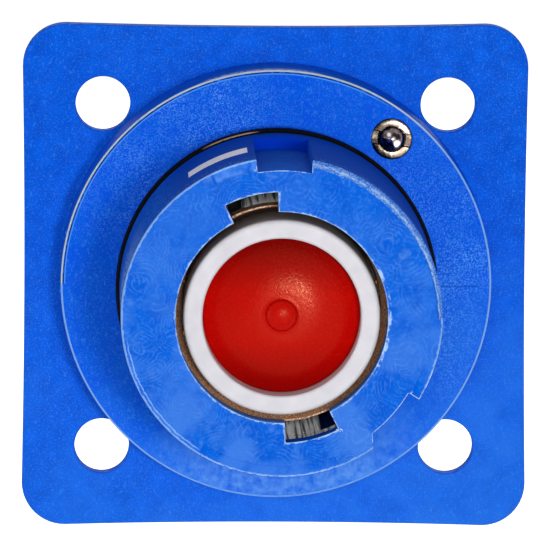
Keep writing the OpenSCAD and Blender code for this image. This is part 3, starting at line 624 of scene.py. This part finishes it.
flangeShape = dict(
    width=75, thickness=3, corner=6.4, topHollow=0.45, sideHollow=0.3, edge=0.22,
    holeSpacing=51.2, hole=8.1, holeEdge=0.18,
    boss=bossRadius, bossFront=bossFront, bossEdge=0.35, bore=23.2,
    counterbore=25.55, spigot=29, spigotBack=-10.5,
    sealInner=29.8, sealOuter=31.4, sealDepth=1.4,
    plungerHole=3.05, plungerFloor=1.7, indexHole=1.3, indexAt=25.5,
    flashNubs=[(166.3, 0.32), (181.9, 0.28)],      # angle and size
)


def hollowSquare(width, corner, topHollow, sideHollow, cornerSteps=14, sideSteps=20):
    # rounded square whose sides have sunk a little between the corners, as moulded plates do
    points = []
    side = width / 2 - corner
    for quarter in range(4):
        sink = topHollow if quarter % 2 else sideHollow
        for k in range(sideSteps + 1):
            along = 2 * k / sideSteps - 1
            points.append((width / 2 - sink * (1 - along * along), side * along, quarter))
        for k in range(1, cornerSteps):
            x, y = polar(corner, 90 * k / cornerSteps)
            points.append((side + x, side + y, quarter))
    quarterTurn = [lambda x, y: (x, y), lambda x, y: (-y, x), lambda x, y: (-x, -y), lambda x, y: (y, -x)]
    return [quarterTurn[quarter](x, y) for x, y, quarter in points]


f = SimpleNamespace(**flangeShape)
flange = raised(hollowSquare(f.width, f.corner, f.topHollow, f.sideHollow), 0, f.thickness, "flangeBody")
softEdges(flange, f.edge, segments=3)
boss = turned("boss", [
    (f.bore, f.bossFront, 0.12), (f.boss - f.bossEdge, f.bossFront, 0.1),
    (f.boss, f.bossFront - f.bossEdge, 0.1), (f.boss, f.thickness + 0.4),
    (f.boss + 0.1, f.thickness + 0.14), (f.boss + 0.4, f.thickness - 0.02), (f.boss + 0.4, 1),
    (f.spigot, 1), (f.spigot, f.spigotBack, 0.4), (f.counterbore, f.spigotBack, 0.2),
    (f.counterbore, 0), (f.bore, 0)], steps=240)
centre = rod(f.counterbore + 1, -1, f.thickness + 1, steps=240)
combine(flange, [centre])
combine(flange, [boss], "UNION")
screwHole = turned("screwHole", [
    (f.hole / 2 + 0.4, -0.4 + f.holeEdge), (f.hole / 2, f.holeEdge),
    (f.hole / 2, f.thickness - f.holeEdge), (f.hole / 2 + 0.4, f.thickness + 0.4 - f.holeEdge)],
    closed=False, steps=96)
tools = [settle(copied(screwHole), place=(x * f.holeSpacing / 2, y * f.holeSpacing / 2, 0)) for x in (-1, 1)
    for y in (-1, 1)]
bpy.data.objects.remove(screwHole)
tools.append(turned("sealGroove", [(f.sealInner, -1), (f.sealOuter, -1), (f.sealOuter, f.sealDepth),
    (f.sealInner, f.sealDepth)], steps=240))
tools.append(rod(f.plungerHole, f.plungerFloor, f.bossFront + 1.6, *plungerSpot, steps=96))
tools.append(rod(f.indexHole, -5, 0, 0, f.indexAt))
combine(flange, tools)
joined("flangeBody", [flange] + [burr(f.boss - 0.05, angle, f.bossFront - 0.25, size)
    for angle, size in f.flashNubs])
finishPiece(flange, mouldedNylon, "mounting_flange")


# Insulating nose: keyed, with a lip, two bayonet notches and a groove for its seal

noseShape = dict(
    radius=noseRadius, front=noseFront, edge=0.22, lipBore=lipBore, lipBack=47.8, chamber=20,
    collar=25.5, collarBack=-5, tail=22.5, tailBack=-16,
    sealStation=18.2, sealGroove=21.25, sealWidth=2.6,
    circlipBore=20.9, circlipFront=-10, circlipBack=-11.6,
    notchDepth=18.15, notches=(92, 117), broadBevel=0.95, broadBevelSpan=(0, 80.5),
    keyFloor=keyFloor, keyBack=keyBack, keyways=[(78.3, 79.6, 99.4, 99.8), (-50.7, -56, -31, -30.7)],
    rebateFloor=21.6, rebates=[(98.6, 116.6, 0.15), (-33, -18, 0.4), (-121, -69, 0.4)],
    burrs=[(18.45, -62.3, 0.4), (18.2, -63.6, 0.22), (15.6, 118.4, 0.2), (17.9, 118.3, 0.25)],
    cuts=(-140, -10, 40, 160), plainSpans=[(101, 118), (-29.5, -16), (-123, -67)],
    markSpan=(102, 125.3), markFrom=34.2, markTo=40.2, markDepth=0.2,
    indexHole=1.3, pinHole=1.25, pinAt=20, frontEdge=0.12,
)
n = SimpleNamespace(**noseShape)
nose = turned("noseBody", [
    (n.lipBore, n.front, 0.12), (n.radius - n.edge, n.front), (n.radius, n.front - n.edge),
    (n.radius, n.sealStation + n.sealWidth / 2, 0.1), (n.sealGroove, n.sealStation + n.sealWidth / 2),
    (n.sealGroove, n.sealStation - n.sealWidth / 2),
    (n.radius, n.sealStation - n.sealWidth / 2, 0.1), (n.radius, -0.05), (n.collar, -0.05),
    (n.collar, n.collarBack), (n.tail, n.collarBack), (n.tail, n.tailBack, 0.3),
    (n.chamber, n.tailBack, 0.2), (n.chamber, n.circlipBack), (n.circlipBore, n.circlipBack),
    (n.circlipBore, n.circlipFront), (n.chamber, n.circlipFront), (n.chamber, n.lipBack),
    (n.lipBore, n.lipBack, 0.1)], steps=roundSteps)
tools = []
for start in (n.notches[0], n.notches[0] + 180):
    tools.append(arcBlock(n.lipBore - 0.8, n.notchDepth, start, start + n.notches[1] - n.notches[0],
        n.lipBack - 0.7, n.front + 1))
for floorStart, start, end, floorEnd in n.keyways:
    over = n.radius + 0.7
    under = n.keyFloor - 0.6
    tool = raised([polar(under, floorStart), polar(over, start), polar(over + 1.2, (start + end) / 2),
        polar(over, end), polar(under, floorEnd)], n.keyBack, n.front + 1)
    combine(tool, [rod(n.keyFloor, n.keyBack - 1, n.front + 2, steps=roundSteps)])
    tools.append(tool)
for start, end, deep in n.rebates:
    tools.append(arcBlock(n.rebateFloor, n.radius + 1, start, end, n.front - deep, n.front + 1))
w = n.broadBevel
tools.append(spun([(n.radius - w - 0.5, n.front + 0.5), (n.radius + 0.5, n.front - w - 0.5),
    (n.radius + 0.5, n.front + 0.5)], *n.broadBevelSpan, steps=60))
tools.append(arcBlock(n.radius - n.markDepth, n.radius + 1, *n.markSpan, n.markFrom, n.markTo))
tools.append(rod(n.indexHole, n.collarBack - 0.5, 0, 0, n.collar))
tools += [rod(n.pinHole, -10.5, -4, x, 0) for x in (-n.pinAt, n.pinAt)]
combine(nose, tools)
startEdit(nose)
bpy.ops.mesh.remove_doubles(threshold=0.02)
bpy.ops.mesh.select_all(action="DESELECT")
bpy.ops.mesh.select_mode(type="EDGE")
mesh = bmesh.from_edit_mesh(nose.data)
for edge in mesh.edges:          # the front is merged into a few large faces, so that its bevels come clean
    middle = (edge.verts[0].co + edge.verts[1].co) / 2
    angle = degrees(atan2(middle.y, middle.x))
    if all(face.normal.z > 0.999 and middle.z > n.front - 0.6 for face in edge.link_faces):
        edge.select_set(all(abs(angle - cut) > 0.75 for cut in n.cuts))
bpy.ops.mesh.dissolve_edges(use_verts=False)
bpy.ops.mesh.select_mode(type="VERT")
endEdit()
softEdges(nose, n.frontEdge, angle=55)
joined("noseBody", [nose] + [burr(radius, angle, n.front - 0.2, size) for radius, angle, size in n.burrs])
tornEdge = nose.data.attributes.new("tornEdge", "FLOAT", "FACE")      # marks the bevelled edges of the front
for face in nose.data.polygons:
    slant = abs(face.normal.z)
    radius, angle = face.center.xy.length, degrees(atan2(face.center.y, face.center.x))
    bevelled = face.center.z > n.front - 0.6 and (0.2 < slant < 0.6 or 0.8 < slant < 0.98)
    plain = 21.42 < radius < 22.8 and any(low < angle < high for low, high in n.plainSpans)
    tornEdge.data[face.index].value = float(bevelled and not plain)
finishPiece(nose, noseNylon, "nose_insulator")

mark = arcBlock(n.radius - n.markDepth + 0.01, n.radius + 0.03, n.markSpan[0] + 0.1, n.markSpan[1] - 0.1,
    n.markFrom + 0.05, n.markTo - 0.05, steps=40)
softEdges(mark, 0.05)
finishPiece(named(mark, "alignmentStripe"), whitePaint, "alignment_mark")


# Seal at the root of the nose

sealShape = dict(ring=22.45, cord=2.4, station=18.2, flash=0.06)
s = SimpleNamespace(**sealShape)
outline = []
for k in range(36):
    angle = 10 * k
    proud = s.flash * exp(-((angle + 180) % 360 - 180) ** 2 / 90)
    x, y = polar(s.cord / 2 + proud, angle)
    outline.append((s.ring + x, s.station + y))
seal = turned("noseSealRing", outline, steps=200)
finishPiece(seal, nitrileRubber, "nose_seal")


# Silver chamber rings behind the lip, with the bayonet slots

chamberShape = dict(outer=19.95, inner=18.35, front=47.8, ringBack=43.4, sleeveFront=42.2, sleeveBack=8,
    slotSpan=8.5, slotEnd=117, slotLength=26, marks=(0.5, 0.2), marked=18)
c = SimpleNamespace(**chamberShape)
ring = turned("chamberRing", [(c.inner, c.front, 0.15), (c.outer, c.front, 0.15),
    (c.outer, c.ringBack, 0.15), (c.inner, c.ringBack, 0.25)]
    + turnedMarks(c.inner, c.ringBack + 0.5, c.front - 0.3, *c.marks))
finishPiece(ring, silverPlate, "front_chamber_ring")
sleeve = turned("bayonetSleeve", [(c.inner, c.sleeveFront, 0.25), (c.outer, c.sleeveFront, 0.15),
    (c.outer, c.sleeveBack, 0.15), (c.inner, c.sleeveBack, 0.15)]
    + turnedMarks(c.inner, c.sleeveFront - 0.6 - c.marked, c.sleeveFront - 0.6, *c.marks))
combine(sleeve, [arcBlock(c.inner - 1, c.outer + 1, end - c.slotSpan, end, c.sleeveFront - c.slotLength,
    c.sleeveFront + 1, steps=8) for end in (c.slotEnd, c.slotEnd + 180)])
softEdges(sleeve, 0.08, angle=85)
finishPiece(sleeve, silverPlate, "bayonet_sleeve")


# Contact tube, its brown lead-in ring and the louvred band inside its neck

contactShape = dict(outer=15.75, bore=14.5, tubeBore=15, back=8, neck=34, front=42.7, bandBore=15.05,
    bandFrom=35.6, bandTo=41.1, rim=46.2, rimLand=0.25, rimBevel=2.5, slotSpan=8.5, slotEnd=119.5,
    slotBack=14, marks=(0.5, -0.2), strip=0.25, louvres=24, louvreTop=14.3, louvreEnd=0.7)
t = SimpleNamespace(**contactShape)
tube = turned("contactTube", [
    (t.bore, t.front), (t.outer, t.front),
    *reversed(turnedMarks(t.outer, t.front - 22.5, t.front - 0.3, *t.marks)),
    (t.outer, t.back), (t.tubeBore, t.back),
    (t.tubeBore, t.neck), (t.bore, t.neck, 0.1), (t.bore, t.bandFrom, 0.08),
    (t.bandBore, t.bandFrom), (t.bandBore, t.bandTo), (t.bore, t.bandTo, 0.08)], steps=200)
combine(tube, [arcBlock(t.tubeBore + 0.02, t.outer + 1, end - t.slotSpan, end, t.slotBack, t.front + 1,
    steps=8) for end in (t.slotEnd, t.slotEnd + 180)])
finishPiece(tube, silverPlate, "contact_tube")
rim = turned("leadInRing", [
    (t.bore, t.front), (t.bore, t.rim - t.rimBevel, 0.3), (t.outer - t.rimLand, t.rim, 0.1),
    (t.outer, t.rim, 0.1), (t.outer, t.front)], steps=200)
finishPiece(rim, sinteredBronze, "lead_in_ring")

stripOuter = t.bandBore - 0.05
strip = turned("contactStrip", [
    (stripOuter - t.strip, t.bandFrom + 0.1), (stripOuter, t.bandFrom + 0.1),
    (stripOuter, t.bandTo - 0.1), (stripOuter - t.strip, t.bandTo - 0.1)], steps=144)
depth = stripOuter - t.strip / 2 - t.louvreTop
arch = []
for side in (1, -1):         # outer arc of the blade and back along its inner arc
    for k in range(9):
        across = side * (2 * k / 8 - 1)
        thin = 0 if side == 1 else 0.16
        arch.append((t.louvreTop + thin + (depth - thin) * across ** 2, across * (0.72 - thin / 2)))
louvre = raised(arch, t.bandFrom + t.louvreEnd, t.bandTo - t.louvreEnd, "louvre")
blades = [strip]
for i in range(t.louvres):
    blades.append(settle(copied(louvre), turn=(0, 0, 360 * i / t.louvres)))
bpy.data.objects.remove(louvre)
band = joined("louvredBand", blades)
closeUp(band, 0.0001)
finishPiece(band, metals["berylliumCopper"], "contact_band")


# Touch guard: white ring, red domed cap and the spring behind them

guardShape = dict(outer=14.15, bore=11.4, front=noseFront, round=0.7, skirtFront=33.95, skirt=14.92,
    skirtBack=30.1, hollow=12, web=(44, 46), shankHole=4.05)
g = SimpleNamespace(**guardShape)
guard = turned("guardRing", [
    (g.shankHole, g.web[0]), (g.shankHole, g.web[1]), (g.bore, g.web[1]),
    (g.bore, g.front, 0.4), (g.outer, g.front, g.round), (g.outer, g.skirtFront),
    (g.skirt, g.skirtFront, 0.15), (g.skirt, g.skirtBack, 0.15), (g.hollow, g.skirtBack, 0.2),
    (g.hollow, g.web[0], 0.4)], steps=200, soft=6)
finishPiece(guard, whiteAcetal, "guard_ring", "guard")

capShape = dict(edge=11.35, seat=46, edgeFront=47.2, rise=1.7, nub=2.25, nubRise=1.1, shank=4, hook=4.5,
    hookBack=42.4, hookFront=44)
p = SimpleNamespace(**capShape)
outline = [(3.5, p.hookBack), (p.hook, p.hookBack + 1, 0.1), (p.hook, p.hookFront), (p.shank, p.hookFront),
    (p.shank, p.seat), (p.edge, p.seat), (p.edge, p.edgeFront - 0.1), (p.edge - 0.1, p.edgeFront)]
nubRoot = p.nub + 0.35
for k in range(1, 25):       # the dome, up to the root of the nub
    share = k / 24
    radius = (p.edge - 0.1) * (1 - share) + nubRoot * share
    outline.append((radius, p.edgeFront + p.rise * sin(radians(90 * share))))
top = p.edgeFront + p.rise
outline += [(p.nub + 0.1, top + 0.06), (p.nub, top + 0.25)]
for k in range(1, 12):
    x, y = polar(1, 90 * k / 12)
    outline.append((p.nub * x, top + 0.25 + (p.nubRise - 0.25) * y))
outline.append((0.05, top + p.nubRise))
cap = turned("guardCap", outline, closed=False, steps=160)
finishPiece(cap, redPlastic, "guard_cap", "guard")


# Compression springs with closed ends

springShapes = {
    "guardSpring": dict(ring=10.2, wire=1.5, turns=9, low=4, long=39.95, pressed=21.95, spot=(0, 0),
        node="guard_spring", joint="guard_press", steps=48, sides=16),
    "plungerSpring": dict(ring=1.35, wire=0.45, turns=6, low=2.9, long=7.8, pressed=6.8, spot=plungerSpot,
        node="plunger_spring", joint="ball_press", steps=32, sides=10),
}
for name, shape in springShapes.items():
    q = SimpleNamespace(**shape)
    closedPitch = q.wire * 1.02
    openPitch = (q.long - q.wire - 2 * closedPitch) / (q.turns - 2)
    stretches = [(1, closedPitch), (q.turns - 2, openPitch), (1, closedPitch)]
    height = q.low + q.wire / 2
    parts = []
    for count, pitch in stretches:
        part = settle(added(bpy.ops.mesh.primitive_circle_add, (q.ring, 0, height), vertices=q.sides,
            radius=q.wire / 2, fill_type="NOTHING", rotation=(forwardTurn, 0, 0)))
        addModifier(part, "SCREW", angle=2 * pi * count, screw_offset=pitch * count, iterations=1,
            steps=q.steps * count, render_steps=q.steps * count, use_normal_calculate=True)
        height += pitch * count
        parts.append(part)
    spring = joined(name, parts)
    closeUp(spring, 0.002)
    startEdit(spring, "DESELECT")
    bpy.ops.mesh.select_non_manifold(extend=False)
    bpy.ops.mesh.fill_holes(sides=0)
    endEdit()
    closeUp(spring, 0.0001)
    settle(spring, place=(*q.spot, 0))
    finishPiece(spring, metals["drawnSpringSteel"], q.node, smooth=60)
    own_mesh(spring)


# Ball plunger in the boss

plungerShape = dict(radius=3, front=13.7, back=1.7, edge=0.35, bore=2.08, floor=2.9, lip=0.28, opening=1.9,
    slotWidth=1.9, slotDepth=0.9, slotTurn=-6, ball=2, ballAt=12.75)
p = SimpleNamespace(**plungerShape)
sleeve = turned("plungerBody", [
    (0.05, p.back), (p.radius, p.back, 0.2), (p.radius, p.front, p.edge),
    (p.opening, p.front, 0.06), (p.opening, p.front - p.lip), (p.bore, p.front - p.lip),
    (p.bore, p.floor), (0.05, p.floor)], closed=False, steps=96, soft=4)
settle(sleeve, place=(*plungerSpot, 0))
cutter = added(bpy.ops.mesh.primitive_cube_add, (*plungerSpot, p.front - p.slotDepth + 1.5), size=1)
combine(sleeve, [settle(cutter, turn=(0, 0, p.slotTurn), size=(14, p.slotWidth, 3))])
softEdges(sleeve, 0.06, angle=45)
finishPiece(sleeve, turnedSteel, "plunger_sleeve")
outline = [polar(p.ball, -90 + 180 * k / 32) for k in range(33)]
outline[0], outline[-1] = (0.02, -p.ball), (0.02, p.ball)
ball = turned("plungerBall", [(x, y + p.ballAt) for x, y in outline], closed=False, steps=64)
settle(ball, place=(*plungerSpot, 0))
finishPiece(ball, polishedSteel, "plunger_ball", "ball", smooth=60)


# Behind the panel: cover, stud, washers and nut

coverShape = dict(outer=25.2, front=-10.8, back=-22, bore=22.55, boreBack=-16, room=19.5, end=-18.6,
    opening=10.05, edge=0.8, grips=12, grip=1.6, gripAt=26, gripEnd=-12.8)
c = SimpleNamespace(**coverShape)
cover = turned("rearCover", [
    (c.bore, c.front, 0.3), (c.outer, c.front, 0.3), (c.outer, c.back, c.edge),
    (c.opening, c.back, 0.25), (c.opening, c.end), (c.room, c.end), (c.room, c.boreBack),
    (c.bore, c.boreBack)], steps=192)
combine(cover, [rod(c.grip, c.back - 1, c.gripEnd, *polar(c.gripAt, 360 * (i + 0.5) / c.grips), steps=32)
    for i in range(c.grips)])
softEdges(cover, 0.15, angle=50)
finishPiece(cover, blackNylon, "rear_cover")

studShape = dict(radius=6, front=-6.2, threadFront=-42, back=-50, crest=5.9, root=5.1, pitch=1.75, turns=6,
    steps=48)
d = SimpleNamespace(**studShape)
stud = turned("terminalStud", [(0.05, d.threadFront + 1), (d.root + 0.2, d.threadFront + 1),
    (d.radius, d.threadFront + 1.9), (d.radius, d.front, 0.5), (0.05, d.front)], closed=False, steps=96)
profile = [(d.root, 0), (d.root, 0.2), (d.crest, 0.78), (d.crest, 0.97), (d.root, 1.55), (d.root, d.pitch)]
thread = named(drawn(profile), "thread")
startEdit(thread)                    # only the chain of edges is kept, open from the last point to the first
bpy.ops.mesh.delete(type="ONLY_FACE")
mesh = bmesh.from_edit_mesh(thread.data)
for edge in mesh.edges:
    edge.select_set(edge.calc_length() > d.pitch * 0.99)
bpy.ops.mesh.delete(type="EDGE")
endEdit()
settle(thread, place=(0, 0, d.back - d.pitch), turn=(90, 0, 0))
addModifier(thread, "SCREW", angle=2 * pi * d.turns, screw_offset=d.pitch * d.turns, iterations=1,
    steps=d.steps * d.turns, render_steps=d.steps * d.turns, use_normal_calculate=True)
closeUp(thread, 0.002)
for height, side in ((d.back, -1), (d.threadFront + 0.5, 1)):      # both ends are cut flat and closed
    startEdit(thread)
    bpy.ops.mesh.bisect(plane_co=(0, 0, height), plane_no=(0, 0, side), use_fill=True, clear_outer=True)
    endEdit()
closeUp(thread)
chamfer = turned("chamfer", [(d.crest - 1.2, d.back - 0.1), (d.crest + 0.1, d.back + 1.2),
    (d.crest + 2, d.back + 1.2), (d.crest + 2, d.back - 0.1)], steps=96)
combine(thread, [chamfer])
combine(stud, [thread], "UNION")
finishPiece(stud, tinPlate, "terminal_stud")

washerShape = dict(outer=12, bore=6.5, stations=[(-29, -26.52), (-26.5, -24.02)], edge=0.25)
h = SimpleNamespace(**washerShape)
washers = [turned("washer", [(h.bore, low, 0.1), (h.bore, high, 0.1), (h.outer, high, h.edge),
    (h.outer, low, 0.1)]) for low, high in h.stations]
finishPiece(joined("flatWashers", washers), zincPlate, "flat_washers")

lockShape = dict(outer=10.3, bore=6.1, back=-31.5, front=-29, splitAt=30, split=14)
h = SimpleNamespace(**lockShape)
lock = arcBlock(h.bore, h.outer, h.splitAt + h.split / 2, h.splitAt - h.split / 2 + 360, h.back, h.front,
    steps=96)
softEdges(lock, 0.15)
finishPiece(named(lock, "springLock"), metals["blackenedSpringSteel"], "spring_washer")

nutShape = dict(flats=18, back=-41.5, front=-31.5, bore=6.05, edge=1)
h = SimpleNamespace(**nutShape)
nut = named(rod(h.flats / sqrt(3), h.back, h.front, steps=6), "hexNut")
corner = h.flats / sqrt(3) + 0.5
flat = h.flats / 2 - 0.2
dressed = turned("dressed", [(0.05, h.back), (flat, h.back), (corner, h.back + h.edge * 1.1),
    (corner, h.front - h.edge * 1.1), (flat, h.front), (0.05, h.front)], closed=False, steps=120)
combine(nut, [dressed], "INTERSECT")
bore = turned("bore", [(h.bore + 0.75, h.back - 0.1), (h.bore, h.back + 0.65), (h.bore, h.front - 0.65),
    (h.bore + 0.75, h.front + 0.1)], closed=False, steps=96)
combine(nut, [bore])
softEdges(nut, 0.12, angle=40)
finishPiece(nut, zincPlate, "terminal_nut")


# Stage, lights and camera

def seenRays(tree):          # 1 for a ray that comes straight from the camera, off metal or through glass
    ray = addNode(tree, "LightPath", give=None).outputs
    return either(tree, ray["Is Camera Ray"], ray["Is Glossy Ray"], ray["Is Transmission Ray"])


stageShape = dict(floor=-0.16, span=12)
stage = SimpleNamespace(**stageShape)
studioWhite, tree, sockets, place = newMaterial("studioPaper", "#f4f4f4", Roughness=0.9,
    Specular_IOR_Level=0.2)
tree.links.new(addNode(tree, "MapRange", {0: seenRays(tree), 4: 0.75}), sockets["Emission Strength"])
sockets["Emission Color"].default_value = (1, 1, 1, 1)

floor = added(bpy.ops.mesh.primitive_grid_add, (0, 0, stage.floor), x_subdivisions=8, y_subdivisions=8,
    size=stage.span)
named(floor, "studioFloor")
floor.data.materials.append(studioWhite)

world = bpy.data.worlds.new("paleStudio")
bpy.context.scene.world = world
world.use_nodes = True
tree = world.node_tree
tree.nodes.clear()
strength = addNode(tree, "MapRange", {0: seenRays(tree), 3: 0.28})
sky = addNode(tree, "Background", {0: "#ffffff", 1: strength})
addNode(tree, "OutputWorld", {0: sky}, give=None)

lamps = {                # one without a spark fills the recesses and leaves no second highlight on the dome
    "frontLamp": dict(place=(0.19, -1.39, 0.06), size=0.15, power=6.8, spark=True),
    "lowSoftbox": dict(place=(0.42, -1.35, -0.3), size=0.8, power=1, spark=True),
    "highSoftbox": dict(place=(-0.03, -1.38, 0.18), size=0.3, power=4.2, spark=False),
    "leftFill": dict(place=(-1.2, -0.8, 0.15), size=0.7, power=2, spark=True),
    "backFill": dict(place=(0.3, 1.4, 0.8), size=1.2, power=8, spark=True),
}
for name, lamp in lamps.items():
    lamp = SimpleNamespace(**lamp)
    data = bpy.data.lights.new(name, "AREA")
    data.shape = "DISK"
    data.size = lamp.size
    data.energy = lamp.power
    made = bpy.data.objects.new(name, data)
    made.location = lamp.place
    made.rotation_euler = (-Vector(lamp.place)).to_track_quat("-Z", "Y").to_euler()
    made.visible_glossy = lamp.spark
    bpy.context.collection.objects.link(made)

frontView = dict(azimuth=-1.3, elevation=7.2, roll=0.35, distance=1.424, pixelsPerMm=6.713, right=0.134,
    below=0.305)
view = SimpleNamespace(**frontView)
a, e = radians(view.azimuth), radians(view.elevation)
back = Vector((sin(a) * cos(e), -cos(a) * cos(e), sin(e)))
right = Vector((cos(a), sin(a), 0))
up = back.cross(right)
target = (right * view.right - up * view.below) / 1000
lens = bpy.data.cameras.new("frontCamera")
sensorWidth, frameWidth = 36, 550        # in millimetres and in pixels
lens.sensor_width = sensorWidth
lens.lens = view.pixelsPerMm * view.distance * 1000 * sensorWidth / frameWidth
lens.clip_start, lens.clip_end = 0.05, 50
camera = bpy.data.objects.new("frontCamera", lens)
bpy.context.collection.objects.link(camera)
camera.location = target + back * view.distance
aim = back.to_track_quat("Z", "Y").to_matrix().to_4x4()
camera.rotation_euler = (aim @ Matrix.Rotation(radians(view.roll), 4, "Z")).to_euler()
bpy.context.scene.camera = camera
bpy.context.scene.view_settings.view_transform = "Standard"
print("stage, lights and camera ready")
